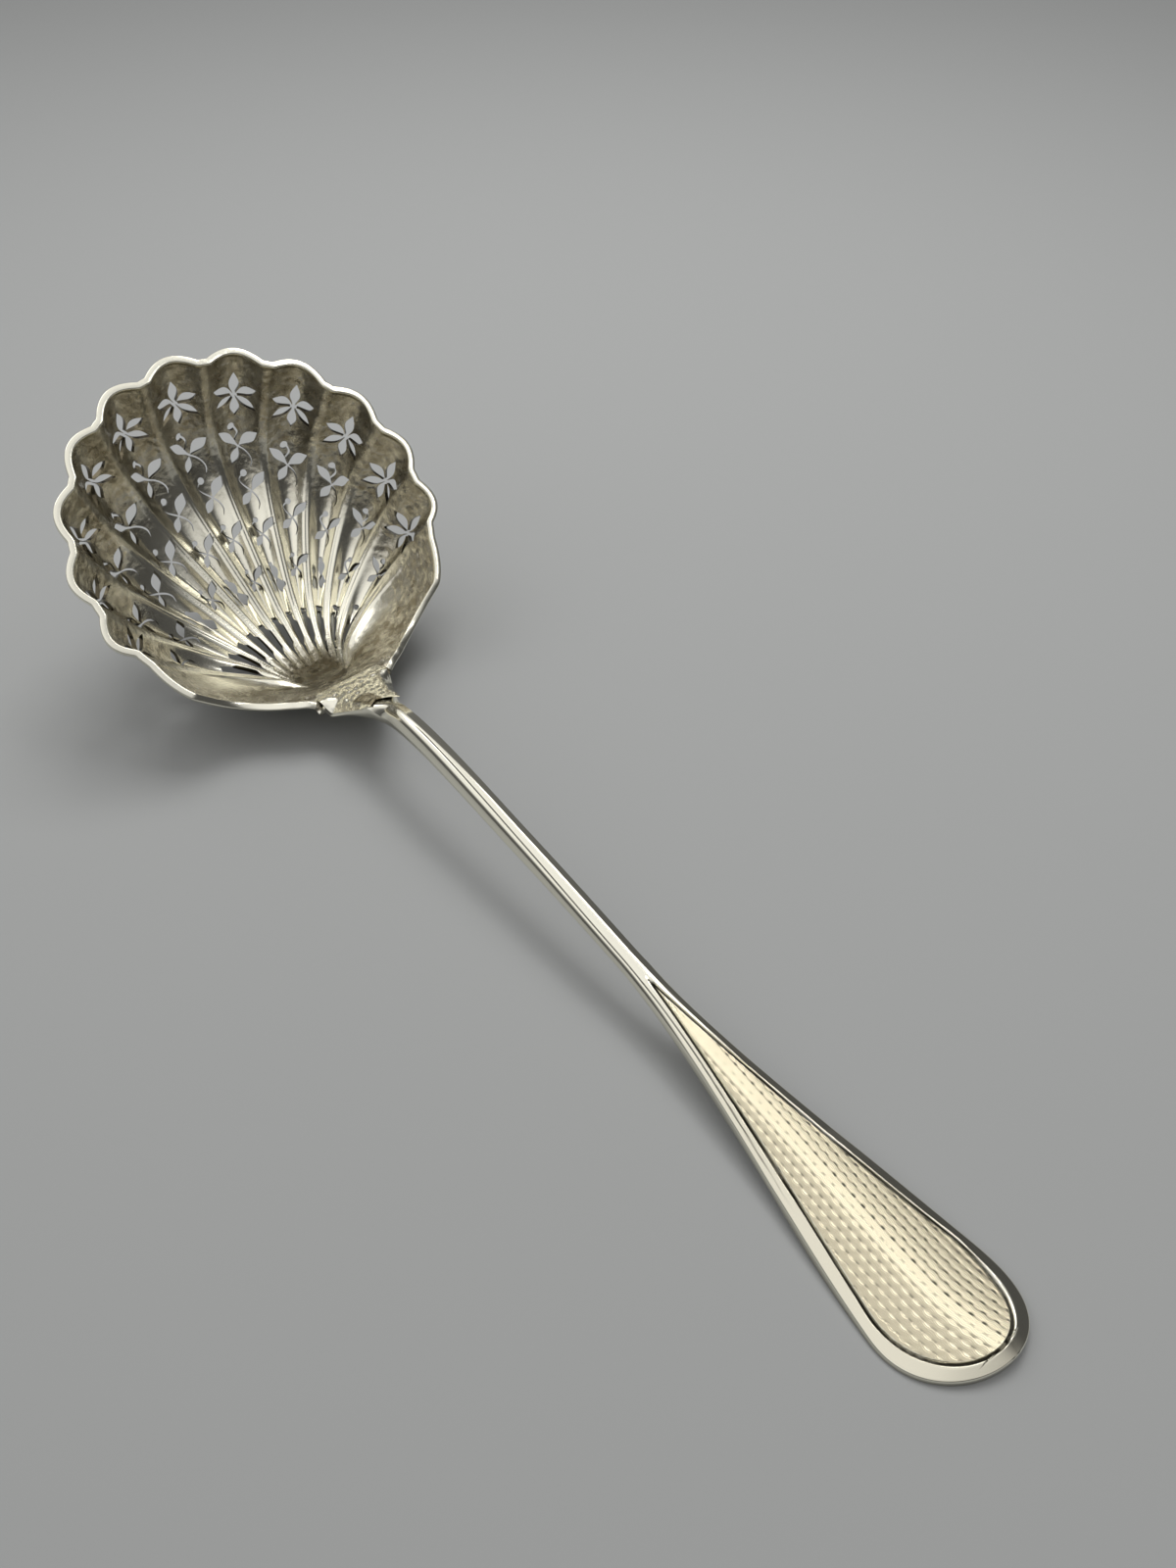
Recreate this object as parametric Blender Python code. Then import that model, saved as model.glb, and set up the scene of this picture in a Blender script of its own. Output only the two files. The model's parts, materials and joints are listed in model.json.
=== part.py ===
"""Sugar sifter spoon: pierced shell bowl, rim wire, heel lap and handle.

Metres, +Z up, the table at z = 0, +X along the handle towards its end.
The origin lies on the table under the middle of the spoon.
The spoon rests on the bottom of the bowl and on the flat end of the handle.
"""
import bpy
from math import atan2, cos, hypot, pi, radians, sin, sqrt
from mathutils import Matrix, Vector
from mathutils.geometry import delaunay_2d_cdt

for leftover in list(bpy.data.objects):
    bpy.data.objects.remove(leftover, do_unlink=True)

# Sizes in millimetres, scaled to metres where each mesh is made
MM = 0.001

# Bowl, measured in its rim plane from the heel
BOWL_RADIUS = 33.0
BOWL_DEPTH = 21.2
BOWL_TILT = radians(41.0)
HEEL_SET = 0.5
WALL_POWER = 4.4
HEEL_LEAN = 0.14
SHEET = 0.8
HEEL_HALF = 8.0
HEEL_OVER = 1.0
HEEL_RISE = 1.1

# Flutes, which fan out from a pole in front of the heel
LOBES = 11
LOBE_PITCH = radians(10.85)
FAN_SET = 3.0
FLUTE_BEND = 0.22
FLUTE_FLARE = 1.5
SCALLOP = 2.0
FLUTE_DEPTH = 1.3
RIB_SHARE = 0.75

# Piercing
FLOWER_RADIUS = 4.4
FLOWER_DROP = 9.3
SPRIG_STEP = 9.6
SPRIG_ROOM = 7.0
STEM_CUT = 0.42
EYE_RADIUS = 0.62
SPRIG_SHIFT = 0.12
COMMA_REACH = 18.2
COMMA_STEP = 0.11
COMMA_END = 6.4
COMMA_WIDTH = 1.4

# Rim wire, heel lap and the gap that seated pieces keep
WIRE_WIDTH = 1.2
WIRE_HEIGHT = 1.0
WIRE_BEVEL = 0.25
LAP_THICK = 1.2
LAP_STEP = 0.58
LAP_LENGTH = 11.8
LAP_HALF = 2.3
LAP_NOTCH = 3.2
GAP = 0.25

# Handle, measured along the table from the heel
HANDLE_END = 153.5
ROOT_FROM = -6.5
ROOT_TO = 17.0
ROOT_FLARE = 5.6
CREST_AT = 28.0
CREST_HEIGHT = 15.1
STEM_HALF = 2.2
STEM_THICK = 4.0
BLADE_HALF = 10.4
BLADE_THICK = 2.0
BLADE_FROM = 86.0
BLADE_WIDEST = 140.0
BORDER = 2.2
EDGE_WALL = 0.9
FLAT_LENGTH = 17.5

BOWL_CENTRE = BOWL_RADIUS + HEEL_SET
CORNER = (LOBES / 2 + 1) * LOBE_PITCH
HEEL_TURN = atan2(HEEL_HALF, -FAN_SET)


def ease(start, end, value):
    """Smooth step from 0 to 1 between start and end."""
    t = min(max((value - start) / (end - start), 0.0), 1.0)
    return t * t * (3.0 - 2.0 * t)


def mix(a, b, t):
    return a + (b - a) * t


# Bowl surface: a round dish with steep walls, fluted by lobes that fan out from the heel
def circle_reach(angle):
    """Distance from the fan pole to the rim circle."""
    shift = BOWL_CENTRE - FAN_SET
    return shift * cos(angle) + sqrt(BOWL_RADIUS ** 2 - (shift * sin(angle)) ** 2)


def outline_reach(angle):
    """Distance from the fan pole to the plain outline: circle, straight ear, heel edge."""
    turn = abs(angle)
    if turn <= CORNER:
        return circle_reach(turn)
    corner = Vector((cos(CORNER), sin(CORNER))) * circle_reach(CORNER)
    heel = Vector((-FAN_SET, HEEL_HALF))
    if turn <= HEEL_TURN:
        across = Vector((heel.y - corner.y, corner.x - heel.x))
        return across.dot(corner) / (across.x * cos(turn) + across.y * sin(turn))
    back = (-FAN_SET - HEEL_OVER) / cos(turn)
    side = HEEL_HALF / max(sin(turn), HEEL_HALF / back / 2)
    return min(back, side)


def lobe_height(angle):
    """1 along the middle of a lobe, 0 along a rib; half lobes lead out to the ears."""
    turn = abs(angle) / LOBE_PITCH
    half = LOBES / 2
    ear = 0.75
    if turn <= half:
        return abs(cos(pi * (turn - half + 0.5)))
    if turn <= half + 1:
        return ear * sin(pi / 2 * (turn - half))
    return ear * max(0.0, 1.0 - (turn - half - 1) / 3)


def spread(reach):
    """Share of its full width that the fan has: the lobes bend in over the floor, out at the heel."""
    rest = 1.0 - reach
    return reach * (1.0 - FLUTE_BEND * rest + FLUTE_FLARE * rest ** 8)


def shell_point(angle, reach):
    """Middle of the sheet at a fan angle and a share of the way to the outline."""
    radius = outline_reach(angle)
    along = FAN_SET + reach * radius * cos(angle)
    across = spread(reach) * radius * sin(angle)
    away = max(hypot(along - BOWL_CENTRE, across), 1e-9)
    out = Vector(((along - BOWL_CENTRE) / away, across / away))
    ratio = min(away / BOWL_RADIUS, 1.0)
    lean = 1.0 + HEEL_LEAN * (BOWL_CENTRE - along) / BOWL_RADIUS
    depth = BOWL_DEPTH * lean * (1.0 - ratio ** WALL_POWER)
    depth -= HEEL_RISE * ease(0.0, HEEL_OVER, away - BOWL_RADIUS)
    slope = WALL_POWER * BOWL_DEPTH * ratio ** (WALL_POWER - 1.0) / BOWL_RADIUS
    steep = slope / hypot(1.0, slope)
    flute = mix(FLUTE_DEPTH, SCALLOP, reach ** 6) * ease(0.03, 0.25, reach)
    swell = flute * (lobe_height(angle) - RIB_SHARE * (1.0 - reach ** 4))
    depth += swell / hypot(1.0, slope) * (1.0 - reach ** 6)
    return Vector((-along - out.x * swell * steep, across + out.y * swell * steep, -depth))


TILT = Matrix.Rotation(BOWL_TILT, 3, "Y")
INWARD = Vector((0.0, 0.0, 1.0))


def shell_normal(angle, reach):
    """Unit normal of the sheet, pointing into the bowl."""
    reach = max(reach, 0.01)
    step, turn = 0.004, 0.008
    up = shell_point(angle, reach + step) - shell_point(angle, reach - step)
    round_ = shell_point(angle + turn, reach) - shell_point(angle - turn, reach)
    normal = up.cross(round_).normalized()
    return normal if normal.dot(INWARD) > 0 else -normal


def outside_points():
    """Points all over the outside of the tilted bowl, before it is lifted on to the table."""
    for turn in range(-180, 180, 5):
        for step in range(1, 41):
            angle, reach = radians(turn), step / 40
            yield TILT @ (shell_point(angle, reach) - shell_normal(angle, reach) * SHEET / 2)


LIFT = Vector((0.0, 0.0, -min(point.z for point in outside_points())))
HEEL_EDGE = TILT @ shell_point(pi, 1.0) + LIFT


# Cut-outs: outlines in millimetres, x along the lobe towards the rim, y across it
def leaf(start, heading, length, width):
    """Pointed oval from start along heading."""
    ahead = Vector((cos(heading), sin(heading))) * length
    side = Vector((-sin(heading), cos(heading))) * width / 2
    near = [start + ahead * 0.3 + side * 0.75, start + ahead * 0.65 + side]
    far = [start + ahead * 0.65 - side, start + ahead * 0.3 - side * 0.75]
    return [start] + near + [start + ahead] + far


def eye(middle, radius):
    return [middle + Vector((cos(turn * pi / 3), sin(turn * pi / 3))) * radius for turn in range(6)]


def band(points, width):
    """Thin cut along a line of points."""
    left, right = [], []
    for index, point in enumerate(points):
        ahead = points[min(index + 1, len(points) - 1)] - points[max(index - 1, 0)]
        side = Vector((-ahead.y, ahead.x)).normalized() * width / 2
        left.append(point + side)
        right.append(point - side)
    return left + right[::-1]


def flower():
    """Six pointed petals with narrow necks that meet in a small round hub."""
    petal = ((-0.5236, 0.16), (-0.24, 0.36), (-0.21, 0.7), (0.0, 1.0), (0.21, 0.7), (0.24, 0.36))
    points = []
    for number in range(6):
        for turn, far in petal:
            heading = number * pi / 3 + turn
            points.append(Vector((cos(heading), sin(heading))) * FLOWER_RADIUS * far)
    return [points]


def sprig(size, is_first):
    """Leaf to the upper right and to the lower left, crossed by a scroll stem from a round eye."""
    middle = Vector((0.0, 0.0))
    curl = Vector((3.4, -0.8)) * size
    line = ((2.9, -1.6), (1.7, -1.5), (0.0, 0.0), (-1.7, 0.75), (-3.4, 0.7))
    stem = [Vector(point) * size for point in line]
    cuts = [eye(curl, EYE_RADIUS * size), band(stem, STEM_CUT)]
    cuts.append(leaf(middle, 0.85 if is_first else 0.64, 4.4 * size, 1.5 * size))
    cuts.append(leaf(middle, 3.65 if is_first else 4.0, 3.3 * size, 1.45 * size))
    if is_first:
        cuts.append(leaf(middle, -0.75, 4.6 * size, 1.2 * size))
    return cuts


def double_bulb(size):
    """Wavy slot of two bulbs under a round eye."""
    upper = leaf(Vector((-1.0, 0.2)) * size, -0.1, 4.8 * size, 1.9 * size)
    lower = leaf(Vector((0.0, 0.2)) * size, pi - 0.1, 4.6 * size, 1.9 * size)
    return [eye(Vector((3.6, -0.5)) * size, EYE_RADIUS * size), upper, lower]


def ring_order(points):
    """The same outline, turned to run anticlockwise."""
    area = sum(a.x * b.y - a.y * b.x for a, b in zip(points, points[1:] + points[:1]))
    return points if area > 0 else points[::-1]


def drop_to_reach(angle, drop):
    """Share of the way to the outline that lies a given length of wall below the rim."""
    steps = 160
    last = shell_point(angle, 1.0)
    length = 0.0
    for step in range(steps - 1, 0, -1):
        here = shell_point(angle, step / steps)
        length += (here - last).length
        last = here
        if length >= drop:
            return step / steps
    return 1 / steps


def wall_between(angle, low, high):
    """Length of the wall along a lobe between two shares of its reach."""
    points = [shell_point(angle, mix(low, high, step / 60)) for step in range(61)]
    return sum((b - a).length for a, b in zip(points, points[1:]))


def lay_on(angle, reach, outline):
    """Lay a flat outline on the sheet, square to the lobe at its middle."""
    side, step = 0.4 * LOBE_PITCH, 0.01
    up = (shell_point(angle, reach + step) - shell_point(angle, reach - step)) / (2 * step)
    round_ = (shell_point(angle + side, reach) - shell_point(angle - side, reach)) / (2 * side)
    lean = round_.dot(up) / up.length
    wide = sqrt(max(round_.length_squared - lean ** 2, 1e-9))
    laid = []
    for point in outline:
        turn = point.y / wide
        laid.append((angle + turn, reach + (point.x - turn * lean) / up.length))
    return laid


def comma_head(number):
    """Share of a lobe's reach at which its comma starts, higher on the outer lobes."""
    return (COMMA_REACH + COMMA_STEP * number ** 2) / outline_reach(number * LOBE_PITCH)


def comma(number):
    """Slot that tapers down a lobe towards the heel, hooked at its head to a round eye."""
    angle = number * LOBE_PITCH
    head = comma_head(number)
    tail = COMMA_END / outline_reach(angle)
    right, left = [], []
    steps = 6
    for step in range(steps + 1):
        t = step / steps
        reach = mix(head, tail, t)
        room = LOBE_PITCH * spread(reach) * outline_reach(angle)
        half = min(COMMA_WIDTH, 0.48 * room) / 2 * (0.3 + 0.7 * sin(pi * min(1.0, 0.1 + t * 0.85)))
        turn = half / (spread(reach) * outline_reach(angle))
        middle = angle + 0.15 * LOBE_PITCH * (1.0 - t)
        right.append((middle + turn, reach))
        left.append((middle - turn, reach))
    hook = lay_on(angle - 0.1 * LOBE_PITCH, head, eye(Vector((0.0, 0.0)), EYE_RADIUS))
    return [right + left[::-1], hook]


def lobe_cuts(number):
    """All cut-outs of one lobe as fan angles and shares of its reach."""
    angle = number * LOBE_PITCH
    top = drop_to_reach(angle, FLOWER_DROP)
    low = comma_head(number)
    cuts = comma(number) + [lay_on(angle, top, outline) for outline in flower()]
    span = wall_between(angle, low, top)
    count = max(1, int(span / SPRIG_STEP - 0.7))
    for place in range(count):
        reach = drop_to_reach(angle, FLOWER_DROP + span * (place + 1.2) / (count + 1.12))
        size = min(1.15, (LOBE_PITCH * spread(reach) * outline_reach(angle) / SPRIG_ROOM) ** 0.6)
        is_bulb = place == count - 1 and number % 2 == 1 and count > 1
        motif = double_bulb(size) if is_bulb else sprig(size, place == 0)
        middle = angle + SPRIG_SHIFT * LOBE_PITCH if place > 0 else angle
        cuts += [lay_on(middle, reach, outline) for outline in motif]
    return cuts


# The sheet is meshed flat in fan coordinates, then laid on the dish and given its thickness
WALL_STRETCH = 0.33


def to_flat(angle, reach):
    far = (reach + WALL_STRETCH * reach ** 4) * outline_reach(angle)
    return Vector((far * cos(angle), far * sin(angle)))


def from_flat(point):
    angle = atan2(point.y, point.x)
    goal = point.length / outline_reach(angle)
    reach = goal
    for _ in range(12):
        miss = reach + WALL_STRETCH * reach ** 4 - goal
        reach -= miss / (1.0 + 4.0 * WALL_STRETCH * reach ** 3)
    return angle, min(reach, 1.0)


def outline_angles():
    """Fan angles round the outline, exact at ribs and corners."""
    back = atan2(HEEL_HALF, -FAN_SET - HEEL_OVER)
    per_lobe = 8
    half = [step * LOBE_PITCH / per_lobe for step in range(per_lobe * (LOBES + 2) // 2)]
    half += [mix(CORNER, HEEL_TURN, step / 6) for step in range(7)]
    half += [back, mix(back, pi, 0.5)]
    return [-angle for angle in reversed(half[1:])] + half + [pi]


def inside(point, ring):
    odd = False
    for a, b in zip(ring, ring[1:] + ring[:1]):
        if (a.y > point.y) != (b.y > point.y):
            if point.x < a.x + (point.y - a.y) * (b.x - a.x) / (b.y - a.y):
                odd = not odd
    return odd


def build_bowl():
    """Pierced sheet of the bowl, without its thickness."""
    points = [to_flat(angle, 1.0) for angle in outline_angles()]
    rings = [list(range(len(points)))]
    holes = []
    for number in range(-(LOBES // 2), LOBES // 2 + 1):
        for cut in lobe_cuts(number):
            ring = ring_order([to_flat(angle, reach) for angle, reach in cut])
            holes.append(ring)
            rings.append(list(range(len(points), len(points) + len(ring))))
            points += ring
    boxes = [(min(p.x for p in ring), max(p.x for p in ring),
              min(p.y for p in ring), max(p.y for p in ring)) for ring in holes]
    clear = 0.8

    def is_free(spot):
        for ring, (x0, x1, y0, y1) in zip(holes, boxes):
            if x0 - clear < spot.x < x1 + clear and y0 - clear < spot.y < y1 + clear:
                if inside(spot, ring) or min((spot - p).length for p in ring) < clear:
                    return False
        return True

    edges = []
    ladder = (0.1, 0.2, 0.3, 0.4, 0.5, 0.6, 0.69, 0.77, 0.85, 0.92)
    for number in range(-(LOBES + 2), LOBES + 3):
        is_rib = number % 2 == 1
        rib = []
        for reach in ladder:
            spot = to_flat(number * LOBE_PITCH / 2, reach)
            if is_free(spot):
                rib.append(len(points))
                points.append(spot)
        if is_rib:
            edges += list(zip(rib, rib[1:]))
    for number in range(-2 * LOBES - 1, 2 * LOBES + 2, 2):
        for reach in ladder[5:]:
            spot = to_flat(number * LOBE_PITCH / 4, reach)
            if is_free(spot):
                points.append(spot)
    for turn in (1.35, 1.55, 1.8, 2.2, 2.7):
        for reach in (0.2, 0.4, 0.6, 0.8):
            points += [to_flat(turn, reach), to_flat(-turn, reach)]
    points.append(Vector((0.0, 0.0)))

    spots, _, faces, _, _, sources = delaunay_2d_cdt(points, edges, rings, 1, 1e-5)
    sheet = [face for face, source in zip(faces, sources) if list(source) == [0]]
    used = sorted({index for face in sheet for index in face})
    place = {index: order for order, index in enumerate(used)}
    verts = [shell_point(*from_flat(spots[index])) for index in used]
    return verts, [[place[index] for index in face] for face in sheet]


def build_rim_wire():
    """Flat wire along the edge of the shell, cut square at both heel corners."""
    path = [angle for angle in outline_angles() if abs(angle) <= HEEL_TURN + 1e-6]
    seat = SHEET / 2 * 0.8 + GAP
    line = [shell_point(angle, 1.0) + INWARD * seat for angle in path]
    half = WIRE_WIDTH / 2
    profile = [(-half, 0.0), (half, 0.0), (half, WIRE_HEIGHT - WIRE_BEVEL), (half - WIRE_BEVEL, WIRE_HEIGHT),
               (WIRE_BEVEL - half, WIRE_HEIGHT), (-half, WIRE_HEIGHT - WIRE_BEVEL)]
    rings = []
    last = len(line) - 1
    for index, point in enumerate(line):
        before = (point - line[max(index - 1, 0)]).normalized()
        after = (line[min(index + 1, last)] - point).normalized()
        ahead = (before + after).normalized()
        side = INWARD.cross(ahead).normalized()
        stretch = 1.0 / max(0.6, side.dot(INWARD.cross(after if index < last else before).normalized()))
        rise = INWARD - ahead * INWARD.dot(ahead)
        rings.append([point + side * offset * stretch + rise * height for offset, height in profile])
    return loft(rings)


def loft(rings):
    """Closed skin over a row of rings with as many points each."""
    size = len(rings[0])
    last = (len(rings) - 1) * size
    faces = [list(range(size))[::-1], list(range(last, last + size))]
    for start in range(0, last, size):
        for corner in range(size):
            a, b = start + corner, start + (corner + 1) % size
            faces.append([a, b, b + size, a + size])
    return [vert for ring in rings for vert in ring], faces


# Heel lap: a cast plate that laps from the heel edge on to the root of the stem
LAP_START = HEEL_EDGE.x + SHEET / 2 + GAP


def lap_top(x):
    """Top of the heel lap, rising from the heel edge on to the stem."""
    run = x - HEEL_EDGE.x
    return HEEL_EDGE.z + LAP_STEP + 0.55 * run - 0.0095 * run * run


def lap_under(x):
    """Underside of the heel lap, which thins towards its tail."""
    t = min(1.0, max(0.0, (x - LAP_START) / LAP_LENGTH))
    return lap_top(x) - LAP_THICK * mix(1.0, 0.6, t)


def build_heel_lap():
    """Plate with a swallow tail, as wide at the heel as the bowl's edge there."""
    verts, faces = [], []
    rows, columns = 9, 6
    crown = 0.45
    for level in (0.0, 1.0):
        for row in range(rows):
            t = row / (rows - 1)
            half = mix(LAP_HALF, HEEL_HALF - HEEL_OVER, (1.0 - t) ** 1.8)
            for column in range(columns + 1):
                f = column / columns * 2.0 - 1.0
                x = LAP_START + LAP_LENGTH * t - LAP_NOTCH * (1.0 - abs(f)) * t ** 2
                z = mix(lap_under(x), lap_top(x), level) + crown * (1.0 - f * f) * t
                verts.append(Vector((x, f * half, z)))
    wide = columns + 1
    layer = rows * wide
    for row in range(rows - 1):
        for column in range(columns):
            a = row * wide + column
            faces.append([a, a + 1, a + wide + 1, a + wide])
            faces.append([a + layer + wide, a + layer + wide + 1, a + layer + 1, a + layer])
    border = list(range(wide)) + [row * wide + columns for row in range(1, rows)]
    border += list(range(layer - 2, layer - wide - 1, -1)) + [row * wide for row in range(rows - 2, 0, -1)]
    for a, b in zip(border, border[1:] + border[:1]):
        faces.append([b, a, a + layer, b + layer])
    return verts, faces


# Handle: root under the heel, arched stem and spatula blade with a bevelled border
def bowl_under(x, y):
    """Underside of the bowl above a point of the table, near the heel."""
    low, high = -HEEL_OVER, BOWL_CENTRE
    for _ in range(40):
        along = (low + high) / 2
        away = hypot(along - BOWL_CENTRE, y)
        lean = 1.0 + HEEL_LEAN * (BOWL_CENTRE - along) / BOWL_RADIUS
        depth = BOWL_DEPTH * lean * (1.0 - min(away / BOWL_RADIUS, 1.0) ** WALL_POWER)
        depth -= HEEL_RISE * ease(0.0, HEEL_OVER, away - BOWL_RADIUS)
        spot = TILT @ Vector((-along, y, -depth))
        if spot.x > x:
            low = along
        else:
            high = along
    return spot.z + LIFT.z - SHEET * 0.6


def ridge(x):
    """Height of the top of the handle: up from the heel, over a crest, down to the flat end."""
    if x < CREST_AT:
        return CREST_HEIGHT - 0.0135 * (CREST_AT - x) ** 2
    t = min(1.0, (x - CREST_AT) / (BLADE_WIDEST + 3.0 - CREST_AT))
    fall = mix(0.5 - 0.5 * cos(pi * t ** 1.15), t ** 1.35, 0.5)
    return mix(CREST_HEIGHT, BLADE_THICK, fall)


def keel(x):
    """Height of the underside of the handle, flat on the table at the end."""
    thick = mix(STEM_THICK, BLADE_THICK, ease(CREST_AT, BLADE_WIDEST - 15.0, x))
    flat_from = HANDLE_END - FLAT_LENGTH
    return max(0.0, ridge(x) - thick) * (1.0 - ease(flat_from - 10.0, flat_from, x))


def half_width(x):
    """Half the width of the handle: flared root, slim stem, spatula blade with a round end."""
    if x > BLADE_WIDEST:
        t = min(1.0, (x - BLADE_WIDEST) / (HANDLE_END - BLADE_WIDEST))
        return max(0.4, BLADE_HALF * sqrt(max(0.0, 1.0 - t ** 2.4)))
    root = ROOT_FLARE * (1.0 - ease(-1.0, ROOT_TO, x))
    swell = ease(BLADE_FROM, BLADE_WIDEST + 6.0, x)
    grow = max(0.0, (x - BLADE_FROM - 9.0) / (BLADE_WIDEST - BLADE_FROM - 9.0))
    width = STEM_HALF + root + (BLADE_HALF - STEM_HALF) * mix(swell, grow, 0.65)
    nose = ROOT_FROM + 4.5
    if x < nose:
        width *= sqrt(max(0.0, 1.0 - ((nose - x) / 6.0) ** 2))
    return width


def handle_section(x):
    """Closed ring of points across the handle."""
    half = half_width(x)
    flat = ease(BLADE_FROM, BLADE_FROM + 26.0, x)
    root = 1.0 - ease(ROOT_TO - 7.0, ROOT_TO - 1.0, x)
    inner = mix(0.62, max(0.25, 1.0 - BORDER / half), flat)
    high, low = ridge(x), keel(x)
    middle = mix((high + low) / 2, low + EDGE_WALL, flat)
    crest = high - 0.5 * min(1.0, (half * inner / 8.0) ** 2)
    shares = (-1.0, -(1.0 + inner) / 2, -inner, -0.66 * inner, -0.33 * inner, 0.0)
    shares = shares + tuple(-share for share in shares[-2::-1])
    top, bottom = [], []
    for share in shares:
        bow = sqrt(1.0 - share * share)
        if abs(share) <= inner:
            blade = mix(high, crest, (share / inner) ** 2)
        else:
            blade = mix(crest, middle, (abs(share) - inner) / (1.0 - inner))
        up = mix(middle + (high - middle) * bow, blade, flat)
        down = mix(middle - (middle - low) * bow, low, flat)
        if root > 0.0:
            seat = lap_under(x) - GAP
            if x < LAP_START:
                under = bowl_under(x, share * half) - GAP * (1.6 + 1.4 * share * share)
                seat = mix(under, min(under, seat), ease(LAP_START - 1.5, LAP_START, x))
            thick = 0.4 + 3.2 * ease(-9.0, 9.0, x) * bow
            up = min(mix(up, seat, root), seat)
            down = mix(down, seat - thick, root)
        top.append(Vector((x, share * half, up)))
        bottom.append(Vector((x, share * half * mix(1.0, 0.985, flat), down)))
    return bottom + top[::-1]


def build_handle():
    stations = [mix(ROOT_FROM, ROOT_TO - 1.0, step / 15) for step in range(16)]
    stations += [mix(ROOT_TO + 1.0, BLADE_FROM - 4.0, step / 16) for step in range(17)]
    stations += [mix(BLADE_FROM - 1.0, BLADE_WIDEST, step / 18) for step in range(19)]
    turns = 9
    for step in range(1, turns + 1):
        stations.append(mix(BLADE_WIDEST, HANDLE_END, 1.0 - (1.0 - step / turns) ** 2))
    return loft([handle_section(x) for x in stations])


# Objects: one named node each, carried by an empty at the heel
def silver(name, colour, roughness):
    material = bpy.data.materials.new(name)
    material.use_nodes = True
    shader = material.node_tree.nodes["Principled BSDF"]
    shader.inputs["Base Color"].default_value = colour
    shader.inputs["Metallic"].default_value = 1.0
    shader.inputs["Roughness"].default_value = roughness
    return material


def add_piece(name, shape, material):
    """New object from points in millimetres and faces, shaded smooth up to its sharp edges."""
    verts, faces = shape
    mesh = bpy.data.meshes.new(name)
    mesh.from_pydata([vert * MM for vert in verts], [], faces)
    mesh.validate()
    mesh.shade_smooth()
    mesh.set_sharp_from_angle(angle=radians(35.0))
    mesh.materials.append(material)
    piece = bpy.data.objects.new(name, mesh)
    piece.parent = heel
    bpy.context.scene.collection.objects.link(piece)
    return piece


FRONT = min(point.x for point in outside_points())
heel = bpy.data.objects.new("heel", None)
heel.location.x = -(FRONT + HANDLE_END) / 2 * MM
bpy.context.scene.collection.objects.link(heel)

bowl = add_piece("bowl_shell", build_bowl(), silver("pierced_silver", (0.83, 0.80, 0.72, 1.0), 0.26))
thickness = bowl.modifiers.new("sheet", "SOLIDIFY")
thickness.thickness = SHEET * MM
thickness.offset = 0.0
wire = add_piece("rim_wire", build_rim_wire(), silver("polished_rim_silver", (0.92, 0.90, 0.84, 1.0), 0.18))
for piece in (bowl, wire):
    piece.location = LIFT * MM
    piece.rotation_euler.y = BOWL_TILT
add_piece("heel_lap", build_heel_lap(), silver("cast_silver", (0.78, 0.75, 0.67, 1.0), 0.34))
add_piece("handle", build_handle(), silver("polished_handle_silver", (0.88, 0.86, 0.80, 1.0), 0.16))
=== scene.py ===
"""Looks of a silver sugar sifter: pierced shell bowl, rim wire, heel lap and handle.

Lengths are in millimetres until a mesh is made, measured from the heel of the bowl.
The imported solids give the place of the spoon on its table.
"""
import json
from math import cos, pi, radians, sin, tau

import bpy
import numpy as np
from mathutils import Matrix, Vector
from mathutils.geometry import delaunay_2d_cdt

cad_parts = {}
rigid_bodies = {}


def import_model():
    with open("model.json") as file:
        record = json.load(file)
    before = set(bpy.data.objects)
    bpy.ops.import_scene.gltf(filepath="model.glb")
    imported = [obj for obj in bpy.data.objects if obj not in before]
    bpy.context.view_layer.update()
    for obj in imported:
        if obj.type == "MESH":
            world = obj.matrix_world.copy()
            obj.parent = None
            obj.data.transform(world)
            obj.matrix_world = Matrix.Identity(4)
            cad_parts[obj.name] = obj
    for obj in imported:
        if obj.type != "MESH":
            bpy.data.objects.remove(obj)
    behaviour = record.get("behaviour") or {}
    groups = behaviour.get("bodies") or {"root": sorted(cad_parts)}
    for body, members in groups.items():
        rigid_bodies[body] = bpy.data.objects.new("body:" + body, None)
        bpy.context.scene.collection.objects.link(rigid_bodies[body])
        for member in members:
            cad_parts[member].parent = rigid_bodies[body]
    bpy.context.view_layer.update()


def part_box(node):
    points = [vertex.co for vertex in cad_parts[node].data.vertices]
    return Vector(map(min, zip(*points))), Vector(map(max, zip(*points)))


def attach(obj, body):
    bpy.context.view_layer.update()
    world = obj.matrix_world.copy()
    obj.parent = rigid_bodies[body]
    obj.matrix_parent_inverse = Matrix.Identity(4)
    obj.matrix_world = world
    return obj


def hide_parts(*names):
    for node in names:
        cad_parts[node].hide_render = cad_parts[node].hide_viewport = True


for leftover in list(bpy.data.objects):
    bpy.data.objects.remove(leftover, do_unlink=True)
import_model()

# Bowl: one sheet of silver struck into eleven flutes with a reeded rib between each two.
# It is pierced by saw with a flower under each scallop, leaf sprigs down the flute and a
# comma slot at the heel; the floor is burnished, the wall and the heel apron stay satin.
MM = 0.001
HANDLE_END = 153.5
HEEL_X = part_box("handle")[1].x / MM - HANDLE_END
HEEL_HEIGHT = 7.594
BOWL_RADIUS = 33.0
BOWL_DEPTH = 21.2
BOWL_TILT = radians(41.0)
BOWL_CENTRE = BOWL_RADIUS + 0.5
WALL_POWER = 4.4
HEEL_LEAN = 0.14
HEEL_HALF = 8.0
HEEL_OVER = 1.0
HEEL_RISE = 1.1
SHEET = 0.8
LOBES = 11
LOBE_PITCH = radians(10.85)
FAN_SET = 3.0
FLUTE_BEND = 0.22
FLUTE_FLARE = 1.5
SCALLOP = 2.0
FLUTE_DEPTH = 1.3
RIB_SHARE = 0.75
RIB_HALF = 0.62
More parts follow.
